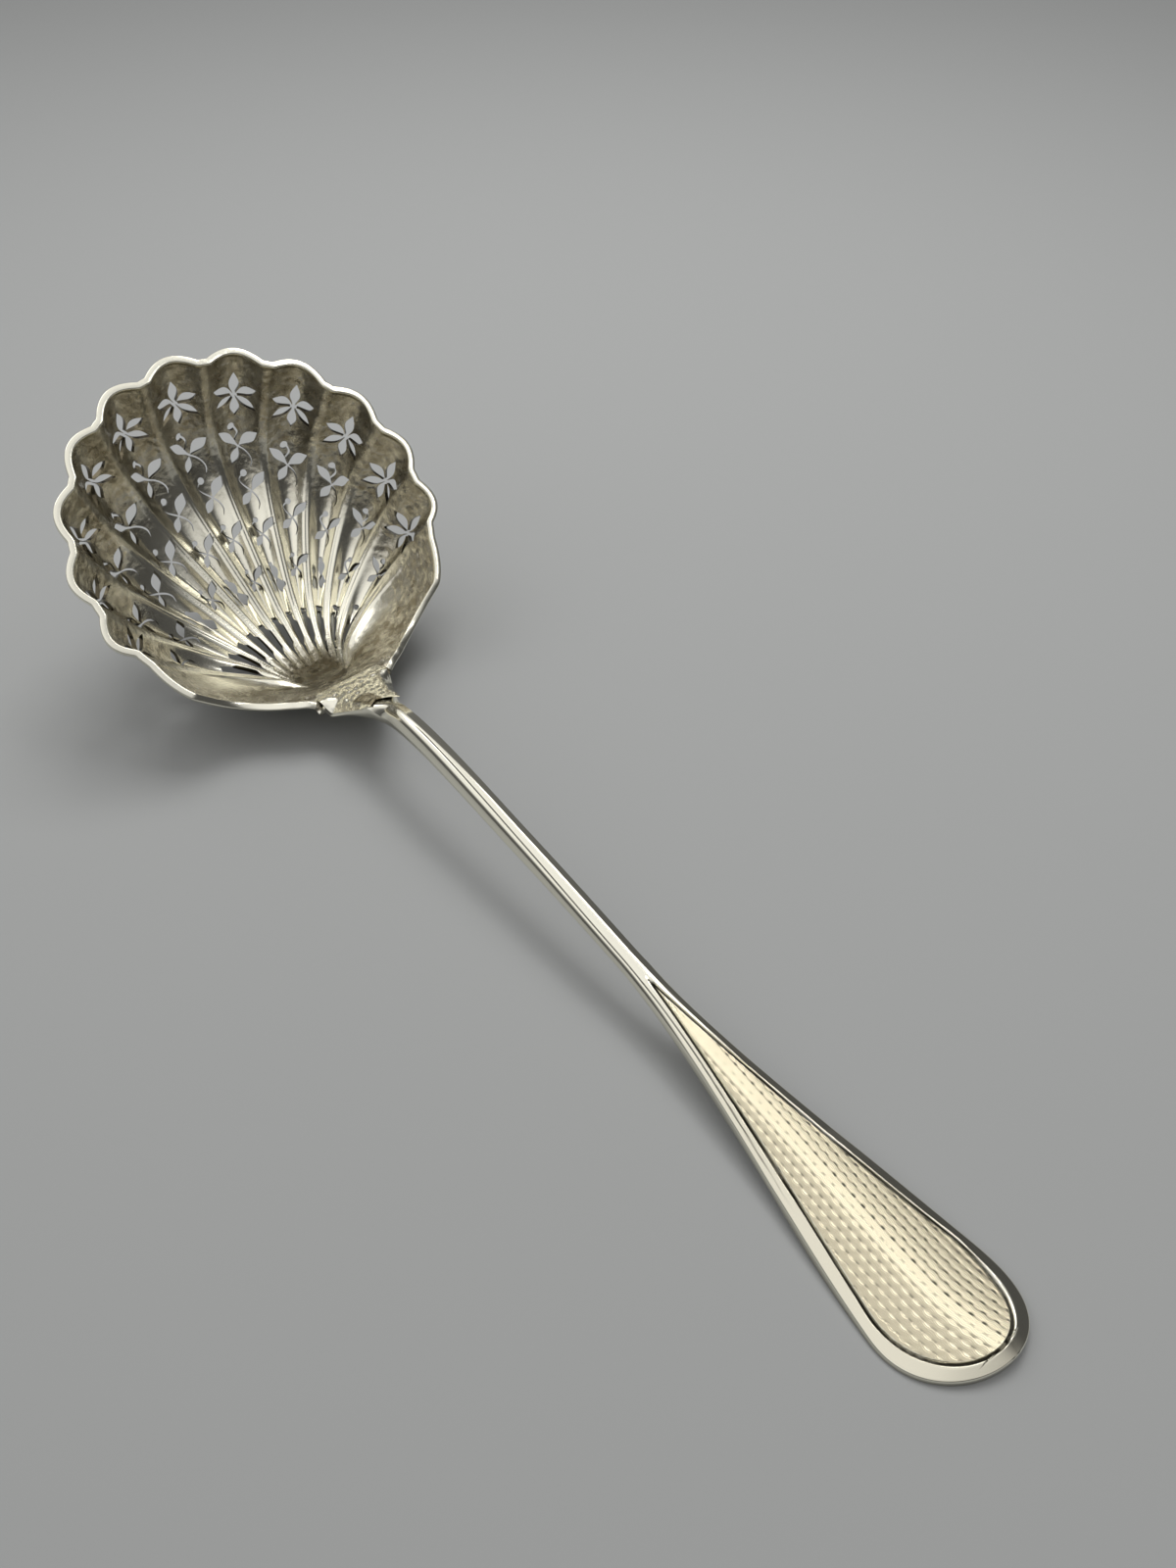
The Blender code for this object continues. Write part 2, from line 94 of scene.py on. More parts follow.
RIB_HALF_AT_RIM = 0.95
RIB_WIDENS = (0.6, 0.92)
RIB_MOST = 0.21
REED_RISE = 0.2
REEDS_START = (0.04, 0.16)
REEDS_MEET = (0.6, 0.85)
FLUTES_START = (0.03, 0.25)
EAR_SWELL = 0.75
EAR_FADE = 3.0
CORNER = (LOBES / 2 + 1) * LOBE_PITCH
HEEL_TURN = np.arctan2(HEEL_HALF, -FAN_SET)


def part_way(start, end, value):
    """Share of the way from start to end, held between 0 and 1."""
    return np.clip((value - start) / (end - start), 0.0, 1.0)


def ease(start, end, value):
    """Smooth step from 0 to 1 between start and end."""
    t = part_way(start, end, value)
    return t * t * (3.0 - 2.0 * t)


def mix(a, b, t):
    return a + (b - a) * t


def unit(vectors):
    return vectors / np.maximum(np.linalg.norm(vectors, axis=-1, keepdims=True), 1e-12)


def circle_reach(angle):
    """Distance from the pole of the flutes to the rim circle."""
    shift = BOWL_CENTRE - FAN_SET
    return shift * np.cos(angle) + np.sqrt(BOWL_RADIUS ** 2 - (shift * np.sin(angle)) ** 2)


def outline_reach(angle):
    """Distance from the pole to the plain outline: circle, straight ear, heel edge."""
    turn = np.abs(angle)
    corner = np.array((cos(CORNER), sin(CORNER))) * circle_reach(CORNER)
    across = np.array((HEEL_HALF - corner[1], corner[0] + FAN_SET))
    held = np.clip(turn, CORNER, HEEL_TURN)
    ear = across @ corner / (across[0] * np.cos(held) + across[1] * np.sin(held))
    back = (-FAN_SET - HEEL_OVER) / np.cos(np.maximum(turn, HEEL_TURN))
    side = HEEL_HALF / np.maximum(np.sin(turn), HEEL_HALF / back / 2)
    heel = np.minimum(back, side)
    return np.where(turn <= CORNER, circle_reach(turn), np.where(turn <= HEEL_TURN, ear, heel))


def spread(reach):
    """Share of its full width that the fan has: flutes bend in over the floor, out at the heel."""
    rest = 1.0 - reach
    return reach * (1.0 - FLUTE_BEND * rest + FLUTE_FLARE * rest ** 8)


def rib_share(angle, reach):
    """Half the width of a rib as a share of the flute's pitch."""
    room = LOBE_PITCH * spread(np.maximum(reach, 0.02)) * outline_reach(angle)
    return np.minimum(mix(RIB_HALF, RIB_HALF_AT_RIM, ease(*RIB_WIDENS, reach)) / room, RIB_MOST)


def from_rib(angle):
    """Distance to the nearest rib as a share of the pitch, and whether it lies past the last one."""
    turn = np.abs(angle) / LOBE_PITCH
    last = LOBES / 2
    near = np.abs((turn - 0.5) - np.round(turn - 0.5))
    return np.where(turn < last, near, turn - last), turn >= last


def lobe_height(angle, reach):
    """1 along the middle of a flute, 0 across the flat top of a rib."""
    share, is_ear = from_rib(angle)
    half = rib_share(angle, reach)
    lobe = np.sin(pi / 2 * part_way(half, 0.5, share))
    rise = np.sin(pi / 2 * part_way(half, 1.0, share))
    ear = EAR_SWELL * np.where(share < 1.0, rise, np.maximum(0.0, 1.0 - (share - 1.0) / EAR_FADE))
    return np.where(is_ear, ear, lobe)


def plain_depth(along, away):
    """Depth of the bowl without its flutes, so far along the spoon and away from the rim's middle."""
    lean = 1.0 + HEEL_LEAN * (BOWL_CENTRE - along) / BOWL_RADIUS
    depth = BOWL_DEPTH * lean * (1.0 - np.minimum(away / BOWL_RADIUS, 1.0) ** WALL_POWER)
    return depth - HEEL_RISE * ease(0.0, HEEL_OVER, away - BOWL_RADIUS)


def struck_sheet(angle, reach):
    """Middle of the sheet at a fan angle and a share of the way to the outline."""
    radius = outline_reach(angle)
    along = FAN_SET + reach * radius * np.cos(angle)
    across = spread(reach) * radius * np.sin(angle)
    away = np.maximum(np.hypot(along - BOWL_CENTRE, across), 1e-9)
    ratio = np.minimum(away / BOWL_RADIUS, 1.0)
    slope = WALL_POWER * BOWL_DEPTH * ratio ** (WALL_POWER - 1.0) / BOWL_RADIUS
    level = 1.0 / np.hypot(1.0, slope)
    flute = mix(FLUTE_DEPTH, SCALLOP, reach ** 6) * ease(*FLUTES_START, reach)
    swell = flute * (lobe_height(angle, reach) - RIB_SHARE * (1.0 - reach ** 4))
    depth = plain_depth(along, away) + swell * level * (1.0 - reach ** 6)
    out = swell * slope * level / away
    return np.stack((-along - (along - BOWL_CENTRE) * out, across + across * out, -depth), -1)


def facing_in(surface, angle, reach):
    """Unit normals of a surface over the fan, pointing into the bowl."""
    reach = np.clip(reach, 0.01, 0.996)
    step, turn = 0.003, 0.0015
    up = surface(angle, reach + step) - surface(angle, reach - step)
    around = surface(angle + turn, reach) - surface(angle - turn, reach)
    normal = unit(np.cross(up, around))
    return normal * np.where(normal[..., 2:] < 0.0, -1.0, 1.0)


def reed(angle, reach):
    """Height of the two reeds along a rib, which run together into one bead up the wall."""
    share, _ = from_rib(angle)
    place = np.clip(share / rib_share(angle, reach), 0.0, 1.0)
    pair = np.sqrt(np.maximum(0.0, 1.0 - (2.0 * place - 1.0) ** 2))
    bead = 1.5 * np.sqrt(1.0 - place ** 2)
    return REED_RISE * mix(pair, bead, ease(*REEDS_MEET, reach)) * ease(*REEDS_START, reach)


def inside_face(angle, reach):
    thick = SHEET / 2 + reed(angle, reach)
    return struck_sheet(angle, reach) + facing_in(struck_sheet, angle, reach) * thick[..., None]


def outside_face(angle, reach):
    return struck_sheet(angle, reach) - facing_in(struck_sheet, angle, reach) * SHEET / 2


TILT = np.array(Matrix.Rotation(BOWL_TILT, 3, "Y"))


def seat_bowl(points):
    """From the rim's own frame to the table, in millimetres."""
    return points @ TILT.T + np.array((HEEL_X, 0.0, HEEL_HEIGHT))


# Saw cuts of the bowl: outlines with x along the flute towards the rim and y across it
FLOWER_RADIUS = 4.75
FLOWER_DROP = 9.3
FLOWER_HUB = 0.13
PETALS = 6
PETAL_WIDTH = 1.85
LEAF_NECK = 0.09
SPRIG_STEP = 9.6
SPRIG_ROOM = 7.0
SPRIG_SHIFT = 0.12
SPRIG_LARGEST = 1.15
STEM_CUT = 0.4
EYE_RADIUS = 0.62
COMMA_REACH = 18.2
COMMA_STEP = 0.11
COMMA_END = 6.4
COMMA_WIDTH = 1.4
COMMA_SHARE = 0.48
COMMA_LEAN = 0.15


def leaf(start, heading, length, width):
    """Pointed oval from a narrow neck at start, fullest past its middle."""
    t = np.linspace(0.0, 1.0, 10)
    half = width / 2 * np.sin(pi * t ** 1.15) ** 1.15 + LEAF_NECK * (1.0 - t)
    ahead = np.array((cos(heading), sin(heading)))
    aside = np.array((-sin(heading), cos(heading)))
    middle = np.array(start) + np.outer(t * length, ahead)
    left = middle + np.outer(half, aside)
    right = middle - np.outer(half, aside)
    return np.concatenate((left, right[-2::-1]))


def eye(middle, radius):
    turn = np.arange(14) / 14 * tau
    return np.array(middle) + radius * np.stack((np.cos(turn), np.sin(turn)), -1)


def smooth_line(points, per_span=5):
    """Smooth curve through a few points."""
    points = np.array(points)
    ends = np.concatenate((2 * points[:1] - points[1:2], points, 2 * points[-1:] - points[-2:-1]))
    line = []
    for a, b, c, d in zip(ends, ends[1:], ends[2:], ends[3:]):
        for t in np.arange(per_span) / per_span:
            bend = (2 * a - 5 * b + 4 * c - d) * t ** 2 + (3 * b - a - 3 * c + d) * t ** 3
            line.append(b + 0.5 * ((c - a) * t + bend))
    return np.array(line + [points[-1]])


def scroll(points, width):
    """Thin cut along a curve, drawn out to a point at its end."""
    line = smooth_line(points)
    ahead = np.gradient(line, axis=0)
    aside = unit(np.stack((-ahead[:, 1], ahead[:, 0]), -1))
    t = np.linspace(0.0, 1.0, len(line))[:, None]
    half = width / 2 * (1.0 - 0.7 * t ** 4)
    return np.concatenate((line + aside * half, (line - aside * half)[::-1]))


def flower():
    """Six pointed petals whose narrow necks meet in a small round hub."""
    cuts = [eye((0.0, 0.0), FLOWER_HUB * FLOWER_RADIUS)]
    for number in range(PETALS):
        cuts.append(leaf((0.0, 0.0), number * tau / PETALS, FLOWER_RADIUS, PETAL_WIDTH))
    return cuts


def sprig(size, is_first):
    """Two or three leaves crossed by a scroll that runs from a round eye to a thin tail."""
    line = [(3.1, -1.3), (2.4, -1.75), (1.4, -1.3), (0.0, 0.0), (-1.2, 0.8), (-2.5, 1.05), (-3.7, 0.6)]
    if is_first:
        line = [(0.6, -0.5), (0.0, 0.0), (-0.7, 1.0), (-1.7, 1.75), (-2.8, 2.0), (-3.9, 1.7)]
    cuts = [eye(np.array((3.4, -0.8)) * size, EYE_RADIUS * size)]
    cuts.append(scroll(np.array(line) * size, STEM_CUT))
    cuts.append(leaf((0.0, 0.0), 0.85 if is_first else 0.64, 4.4 * size, 1.7 * size))
    cuts.append(leaf((0.0, 0.0), 3.65 if is_first else 4.0, 3.5 * size, 1.6 * size))
    if is_first:
        cuts.append(leaf((0.0, 0.0), -0.75, 4.6 * size, 1.35 * size))
        cuts.append(scroll(np.array(((3.2, -0.3), (2.4, 0.1), (1.6, -0.3), (1.0, -0.7))) * size, STEM_CUT))
    return cuts


def double_bulb(size):
    """Wavy slot of two bulbs under a round eye."""
    upper = leaf(np.array((-1.0, 0.2)) * size, -0.1, 4.8 * size, 2.0 * size)
    lower = leaf(np.array((0.0, 0.2)) * size, pi - 0.1, 4.6 * size, 2.0 * size)
    return [eye(np.array((3.6, -0.5)) * size, EYE_RADIUS * size), upper, lower]


def wall_lengths(angle):
    """Shares of a flute's reach from rim to pole, and the length of wall down to each."""
    reach = np.linspace(1.0, 0.01, 200)
    points = struck_sheet(np.full_like(reach, angle), reach)
    steps = np.linalg.norm(np.diff(points, axis=0), axis=1)
    return reach, np.concatenate(((0.0,), np.cumsum(steps)))


def lay_on(angle, reach, outline):
    """Lay a flat outline on the sheet, square to the flute at its middle."""
    side, step = 0.4 * LOBE_PITCH, 0.01

    def spot(turn, share):
        return struck_sheet(np.array(turn), np.array(share))

    up = (spot(angle, reach + step) - spot(angle, reach - step)) / (2 * step)
    around = (spot(angle + side, reach) - spot(angle - side, reach)) / (2 * side)
    rise = np.linalg.norm(up)
    lean = around @ up / rise
    wide = np.sqrt(max(around @ around - lean ** 2, 1e-9))
    turn = outline[:, 1] / wide
    return np.stack((angle + turn, reach + (outline[:, 0] - turn * lean) / rise), -1)


def comma_head(number):
    """Share of a flute's reach at which its comma starts, higher on the outer flutes."""
    return (COMMA_REACH + COMMA_STEP * number ** 2) / float(outline_reach(number * LOBE_PITCH))


def comma(number):
    """Slot that tapers down a flute towards the heel, hooked at its head to a round eye."""
    angle = number * LOBE_PITCH
    radius = float(outline_reach(angle))
    head = comma_head(number)
    t = np.linspace(0.0, 1.0, 18)
    reach = mix(head, COMMA_END / radius, t)
    width = np.minimum(COMMA_WIDTH, COMMA_SHARE * LOBE_PITCH * spread(reach) * radius)
    turn = width / 2 * (0.25 + 0.75 * np.sin(pi * np.minimum(1.0, 0.1 + t * 0.88))) / (spread(reach) * radius)
    middle = angle + COMMA_LEAN * LOBE_PITCH * (1.0 - t)
    slot = np.concatenate((np.stack((middle + turn, reach), -1), np.stack((middle - turn, reach), -1)[::-1]))
    hook = lay_on(angle - 0.1 * LOBE_PITCH, head, eye((0.0, 0.0), EYE_RADIUS))
    return [slot, hook]


def flute_cuts(number):
    """All cuts of one flute as fan angles and shares of its reach."""
    angle = number * LOBE_PITCH
    reaches, lengths = wall_lengths(angle)
    top = np.interp(FLOWER_DROP, lengths, reaches)
    cuts = comma(number) + [lay_on(angle, top, outline) for outline in flower()]
    span = np.interp(-comma_head(number), -reaches, lengths) - FLOWER_DROP
    count = max(1, int(span / SPRIG_STEP - 0.7))
    for place in range(count):
        reach = np.interp(FLOWER_DROP + span * (place + 1.2) / (count + 1.12), lengths, reaches)
        room = LOBE_PITCH * spread(reach) * float(outline_reach(angle))
        size = min(SPRIG_LARGEST, (room / SPRIG_ROOM) ** 0.6)
        is_bulb = place == count - 1 and number % 2 == 1 and count > 1
        motif = double_bulb(size) if is_bulb else sprig(size, place == 0)
        middle = angle + SPRIG_SHIFT * LOBE_PITCH if place > 0 else angle
        cuts += [lay_on(middle, reach, outline) for outline in motif]
    return cuts


# Mesh of the bowl: laid out flat over the fan, cut there, then struck into shape on both faces
WALL_STRETCH = 0.33
ROWS = 110
LOBE_STEPS = 24
EAR_STEPS = 20
HEEL_STEPS = 22
CLEAR = 0.16


def to_flat(angle, reach):
    far = (reach + WALL_STRETCH * reach ** 4) * outline_reach(angle)
    return np.stack((far * np.cos(angle), far * np.sin(angle)), -1)


def from_flat(points):
    angle = np.arctan2(points[:, 1], points[:, 0])
    goal = np.hypot(points[:, 0], points[:, 1]) / outline_reach(angle)
    reach = goal.copy()
    for _ in range(14):
        miss = reach + WALL_STRETCH * reach ** 4 - goal
        reach -= miss / (1.0 + 4.0 * WALL_STRETCH * reach ** 3)
    return angle, np.minimum(reach, 1.0)


def outline_angles():
    """Fan angles round the outline, exact at ribs and corners."""
    back = np.arctan2(HEEL_HALF, -FAN_SET - HEEL_OVER)
    half = np.arange(LOBE_STEPS * (LOBES + 2) // 2) * LOBE_PITCH / LOBE_STEPS
    ear = np.linspace(CORNER, HEEL_TURN, EAR_STEPS)
    half = np.concatenate((half, ear, np.linspace(back, pi, HEEL_STEPS)[:-1]))
    return np.concatenate((-half[:0:-1], half, (pi,)))


def is_inside(points, ring):
    odd = np.zeros(len(points), bool)
    for a, b in zip(ring, np.roll(ring, -1, 0)):
        crosses = (a[1] > points[:, 1]) != (b[1] > points[:, 1])
        rise = b[1] - a[1] if b[1] != a[1] else 1e-12
        odd ^= crosses & (points[:, 0] < a[0] + (points[:, 1] - a[1]) * (b[0] - a[0]) / rise)
    return odd


def flute_grid():
    """Rows of points across ribs and flutes, closer together on the ribs."""
    rows = np.linspace(0.03, 1.0, ROWS) * (1.0 + WALL_STRETCH)
    _, reaches = from_flat(np.stack((rows * float(outline_reach(0.0)), np.zeros(ROWS)), -1))
    on_rib = np.array((0.0, 0.25, 0.5, 0.75, 1.0))
    on_lobe = np.array((0.06, 0.16, 0.28, 0.42, 0.56, 0.7, 0.85, 1.0))
    points = []
    for reach in reaches[:-1]:
        rib_places = on_rib if reach > 0.2 else on_rib[::2] if reach > 0.1 else on_rib[:1]
        lobe_places = on_lobe if reach > 0.3 else on_lobe[1::2] if reach > 0.12 else on_lobe[-1:]
        for rib in np.arange(-LOBES / 2, LOBES / 2 + 1):
            half = float(rib_share(rib * LOBE_PITCH, reach))
            for way in (-1.0, 1.0):
                last = 1.0 if way * rib == LOBES / 2 else 0.5
                shares = np.concatenate((rib_places * half, half + lobe_places * (last - half)))
                turns = rib * LOBE_PITCH + way * shares * LOBE_PITCH
                points.append(np.stack((turns, np.full(len(shares), reach)), -1))
    for turn in np.linspace(CORNER + 0.05, pi - 0.05, 26):
        room = np.arange(0.1, 1.0, 0.9 / float(outline_reach(turn)))
        for way in (-1.0, 1.0):
            points.append(np.stack((np.full(len(room), way * turn), room), -1))
    for turn in np.linspace(HEEL_TURN - 0.25, tau - HEEL_TURN + 0.25, 48):
        room = 1.0 - np.array((0.3, 0.5, 0.7, 0.9, 1.15, 1.4)) / float(outline_reach(min(turn, tau - turn)))
        points.append(np.stack((np.full(6, turn if turn < pi else turn - tau), room), -1))
    points = np.concatenate(points)
    return to_flat(points[:, 0], points[:, 1])


def pierce():
    """Flat triangles of the sheet without its cuts."""
    outline = outline_angles()
    rings = [to_flat(outline, np.ones_like(outline))]
    for number in range(-(LOBES // 2), LOBES // 2 + 1):
        for cut in flute_cuts(number):
            ring = to_flat(cut[:, 0], cut[:, 1])
            following = np.roll(ring, -1, 0)
            area = np.sum(ring[:, 0] * following[:, 1] - ring[:, 1] * following[:, 0])
            rings.append(ring if area > 0 else ring[::-1])
    grid = np.unique(np.round(flute_grid(), 4), axis=0)
    free = np.ones(len(grid), bool)
    for ring in rings[1:]:
        low, high = ring.min(0) - CLEAR, ring.max(0) + CLEAR
        near = np.flatnonzero(((grid > low) & (grid < high)).all(1))
        if len(near):
            gap = np.linalg.norm(grid[near, None] - ring[None], axis=2).min(1)
            free[near[is_inside(grid[near], ring) | (gap < CLEAR)]] = False
    edge_gap = np.linalg.norm(grid[:, None] - rings[0][None], axis=2).min(1)
    grid = grid[free & (edge_gap > 2 * CLEAR)]
    spots = np.concatenate(rings + [grid, np.zeros((1, 2))])
    loops, start = [], 0
    for ring in rings:
        loops.append(list(range(start, start + len(ring))))
        start += len(ring)
    flat, _, faces, _, _, sources = delaunay_2d_cdt([Vector(spot) for spot in spots], [], loops, 1, 1e-5)
    kept = [face for face, source in zip(faces, sources) if list(source) == [0]]
    return np.array(flat), np.array(kept)


def open_edges(faces):
    """Edges of a sheet's triangles that only one triangle has, in that triangle's order."""
    edges = np.concatenate((faces[:, (0, 1)], faces[:, (1, 2)], faces[:, (2, 0)]))
    _, where, count = np.unique(np.sort(edges, axis=1), axis=0, return_inverse=True, return_counts=True)
    return edges[count[where.ravel()] == 1]


def add_piece(name, points, faces, normals=None):
    """New object from points in millimetres, with its own normals where they are given."""
    mesh = bpy.data.meshes.new(name)
    mesh.from_pydata((np.array(points) * MM).tolist(), [], [list(map(int, face)) for face in faces])
    mesh.shade_smooth()
    if normals is not None:
        mesh.normals_split_custom_set(normals.tolist())
    piece = bpy.data.objects.new(name, mesh)
    bpy.context.scene.collection.objects.link(piece)
    return piece


def add_mask(piece, name, values, domain="POINT"):
    """Values on a piece's points or faces, for its material to read."""
    mask = piece.data.attributes.new(name, "FLOAT", domain)
    mask.data.foreach_set("value", values.astype(np.float32))


flat_points, sheet_faces = pierce()
used, sheet_faces = np.unique(sheet_faces, return_inverse=True)
sheet_faces = sheet_faces.reshape(-1, 3)[:, ::-1]
fan_angle, fan_reach = from_flat(flat_points[used])
fan_reach = np.maximum(fan_reach, 0.004)
inner = seat_bowl(inside_face(fan_angle, fan_reach))
outer = seat_bowl(outside_face(fan_angle, fan_reach))
inner_normals = facing_in(inside_face, fan_angle, fan_reach) @ TILT.T
outer_normals = -facing_in(outside_face, fan_angle, fan_reach) @ TILT.T
count = len(used)
rim_edges = open_edges(sheet_faces)
walls = np.stack((rim_edges[:, 1], rim_edges[:, 0], rim_edges[:, 0] + count, rim_edges[:, 1] + count), -1)
bowl_points = np.concatenate((inner, outer))
wall_normals = unit(np.cross(bowl_points[walls[:, 1]] - bowl_points[walls[:, 0]],
                             bowl_points[walls[:, 3]] - bowl_points[walls[:, 0]]))
loop_normals = np.concatenate((
    inner_normals[sheet_faces.ravel()], outer_normals[sheet_faces[:, ::-1].ravel()],
    np.repeat(wall_normals, 4, axis=0)))
bowl_faces = sheet_faces.tolist() + (sheet_faces[:, ::-1] + count).tolist() + walls.tolist()
bowl = add_piece("pierced_bowl", bowl_points, bowl_faces, loop_normals)

# Satin mask of the bowl: bare on the burnished floor and along the ribs, full up the wall
WALL_SATIN = (0.62, 0.88)
RIB_SATIN = (0.8, 0.95)
APRON_SATIN = (0.09, 0.2)
OUTSIDE_SATIN = 0.25
share, is_ear = from_rib(fan_angle)
on_rib = 1.0 - ease(0.8, 1.25, share / rib_share(fan_angle, fan_reach))
wall_satin = ease(*WALL_SATIN, fan_reach) * (1.0 - 0.6 * on_rib * (1.0 - ease(*RIB_SATIN, fan_reach)))
apron = np.maximum(1.0 - ease(*APRON_SATIN, fan_reach), is_ear * ease(0.3, 1.0, share))
satin = np.concatenate((np.maximum(wall_satin, 1.25 * apron), np.full(count, OUTSIDE_SATIN)))
add_mask(bowl, "satin", satin)
# Painted shade: the walls of the saw cuts are coloured dark, but not the sheet's edge under the wire
cut_wall_shade = np.zeros(len(bowl_faces))
cut_wall_shade[-len(walls):] = fan_reach[rim_edges].min(1) < 0.999
add_mask(bowl, "cut_wall_shade", cut_wall_shade, "FACE")

BRIGHT_SILVER = (0.93, 0.90, 0.77, 1.0)
TARNISHED_SILVER = (0.245, 0.21, 0.145, 1.0)
# Colour of the painted shade on the walls of the saw cuts
CUT_WALL_SHADE = (0.10, 0.085, 0.055, 1.0)


def node_group(name, inputs, outputs):
    """Empty shader group with float or colour sockets, and its two end nodes."""
    group = bpy.data.node_groups.new(name, "ShaderNodeTree")
    for socket, (kind, value) in inputs.items():
        made = group.interface.new_socket(socket, in_out="INPUT", socket_type="NodeSocket" + kind)
        made.default_value = value
    for socket, kind in outputs.items():
        group.interface.new_socket(socket, in_out="OUTPUT", socket_type="NodeSocket" + kind)
    return group, group.nodes.new("NodeGroupInput"), group.nodes.new("NodeGroupOutput")


def feed(tree, node, sources):
    """Link sockets to a node's inputs, or set them to plain values."""
    for socket, source in sources.items():
        if isinstance(source, bpy.types.NodeSocket):
            tree.links.new(source, node.inputs[socket])
        else:
            node.inputs[socket].default_value = source


def add_node(tree, kind, sources=None, **settings):
    """New node with its settings and what feeds its inputs."""
    node = tree.nodes.new("ShaderNode" + kind)
    for key, value in settings.items():
        setattr(node, key, value)
    feed(tree, node, sources or {})
    return node


def work_out(tree, operation, *terms):
    """Socket with the result of a sum on sockets and numbers."""
    return add_node(tree, "Math", dict(enumerate(terms)), operation=operation).outputs[0]


def lay_over(tree, mask, below, above, way="MIX"):
    """Socket with one colour laid over another where the mask is full."""
    return add_node(tree, "Mix", {0: mask, 6: below, 7: above}, data_type="RGBA", blend_type=way).outputs[2]


def add_bump(tree, height, strength, distance):
    sources = {"Height": height, "Strength": strength, "Distance": distance}
    return add_node(tree, "Bump", sources).outputs["Normal"]


# Burnishing: fine marks left by the polishing mop, and slight clouding between them
burnish, burnish_in, burnish_out = node_group(
    "burnish_marks", {"Size": ("Float", 900.0), "Cloud": ("Float", 0.08), "Base": ("Float", 0.15)},
    {"Height": "Float", "Roughness": "Float"})
place = add_node(burnish, "TexCoord").outputs["Object"]
fine = add_node(burnish, "TexNoise", {"Vector": place, "Scale": burnish_in.outputs["Size"], "Detail": 3.0})
cloud = add_node(burnish, "TexNoise", {"Vector": place, "Scale": 160.0, "Detail": 4.0, "Roughness": 0.65})
lifted = work_out(burnish, "MULTIPLY_ADD", cloud.outputs["Fac"], burnish_in.outputs["Cloud"],
                  burnish_in.outputs["Base"])
feed(burnish, burnish_out, {"Height": fine.outputs["Fac"], "Roughness": lifted})

# Tarnish: warm film that the cloth doesn't reach, broken up by noise
film, film_in, film_out = node_group(
    "tarnish_film",
    {"Mask": ("Float", 0.5), "Bright": ("Color", BRIGHT_SILVER), "Dull": ("Color", TARNISHED_SILVER)},
    {"Colour": "Color", "Mask": "Float"})
place = add_node(film, "TexCoord").outputs["Object"]
patches = add_node(film, "TexNoise", {"Vector": place, "Scale": 420.0, "Detail": 5.0, "Roughness": 0.6})
broken = add_node(film, "MapRange", {"Value": patches.outputs["Fac"], "From Min": 0.25, "From Max": 0.75,
                                     "To Min": 0.35, "To Max": 1.0})
masked = work_out(film, "MULTIPLY", broken.outputs[0], film_in.outputs["Mask"])
tinted = lay_over(film, masked, film_in.outputs["Bright"], film_in.outputs["Dull"])
feed(film, film_out, {"Colour": tinted, "Mask": masked})

# Hammer marks: shallow facets of the planished wall and of the cast heel lap
hammer, hammer_in, hammer_out = node_group(
    "hammer_marks", {"Size": ("Float", 600.0), "Depth": ("Float", 1.0)}, {"Height": "Float"})
place = add_node(hammer, "TexCoord").outputs["Object"]
bent = add_node(hammer, "TexNoise", {"Vector": place, "Scale": 500.0, "Detail": 2.0})
shifted = add_node(hammer, "VectorMath", {0: bent.outputs["Color"], 1: (0.0016, 0.0016, 0.0016), 2: place},
                   operation="MULTIPLY_ADD")
facets = add_node(hammer, "TexVoronoi", {"Vector": shifted.outputs[0], "Scale": hammer_in.outputs["Size"],
                                         "Smoothness": 0.6}, feature="SMOOTH_F1")
deep = work_out(hammer, "MULTIPLY", facets.outputs["Distance"], hammer_in.outputs["Depth"])
feed(hammer, hammer_out, {"Height": deep})


def add_group(tree, group, sources):
    """Outputs of a shader group placed in a material with its own values."""
    return add_node(tree, "Group", sources, node_tree=group).outputs


def read_mask(tree, name):
    return add_node(tree, "Attribute", attribute_name=name).outputs["Fac"]


def new_material(piece, name, values):
    """Node tree and shader of a piece's new material, with plain values on the shader itself."""
    material = bpy.data.materials.new(name)
    material.use_nodes = True
    piece.data.materials.append(material)
    shader = material.node_tree.nodes["Principled BSDF"]
    feed(material.node_tree, shader, values)
    return material.node_tree, shader


BARE_SILVER = {"Base Color": BRIGHT_SILVER, "Metallic": 1.0}
tree, shader = new_material(bowl, "pierced_silver", BARE_SILVER)
tarnish = add_group(tree, film, {"Mask": read_mask(tree, "satin")})
polish = add_group(tree, burnish, {"Size": 1500.0, "Cloud": 0.1, "Base": 0.13})
dents = add_group(tree, hammer, {"Size": 620.0, "Depth": tarnish["Mask"]})
relief = work_out(tree, "MULTIPLY_ADD", polish["Height"], 0.06, dents["Height"])
# The walls of the saw cuts get their painted shade over the tarnish film
feed(tree, shader, {
    "Base Color": lay_over(tree, read_mask(tree, "cut_wall_shade"), tarnish["Colour"], CUT_WALL_SHADE),
    "Roughness": work_out(tree, "MULTIPLY_ADD", tarnish["Mask"], 0.11, polish["Roughness"]),
    "Normal": add_bump(tree, relief, 0.7, 0.0004)})
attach(bowl, "root")
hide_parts("bowl_shell")

# Rim wire: a flat silver wire bent round every scallop and soldered on to the sheet's edge.
# Both ends are cut square at the heel; its top is worn bright by handling and polishing.
WIRE_WIDTH = 1.3
WIRE_LOW = -0.35
WIRE_HIGH = 0.95
WIRE_ROUND = 0.22


def loft(rings):
    """Closed skin over a row of rings with as many points each."""
    rows, size = rings.shape[:2]
    index = np.arange(rows * size).reshape(rows, size)
    after = np.roll(index, -1, 1)
    sides = np.stack((index[:-1], after[:-1], after[1:], index[1:]), -1).reshape(-1, 4)
    faces = sides.tolist() + [index[0, ::-1].tolist(), index[-1].tolist()]
    return rings.reshape(-1, 3), faces


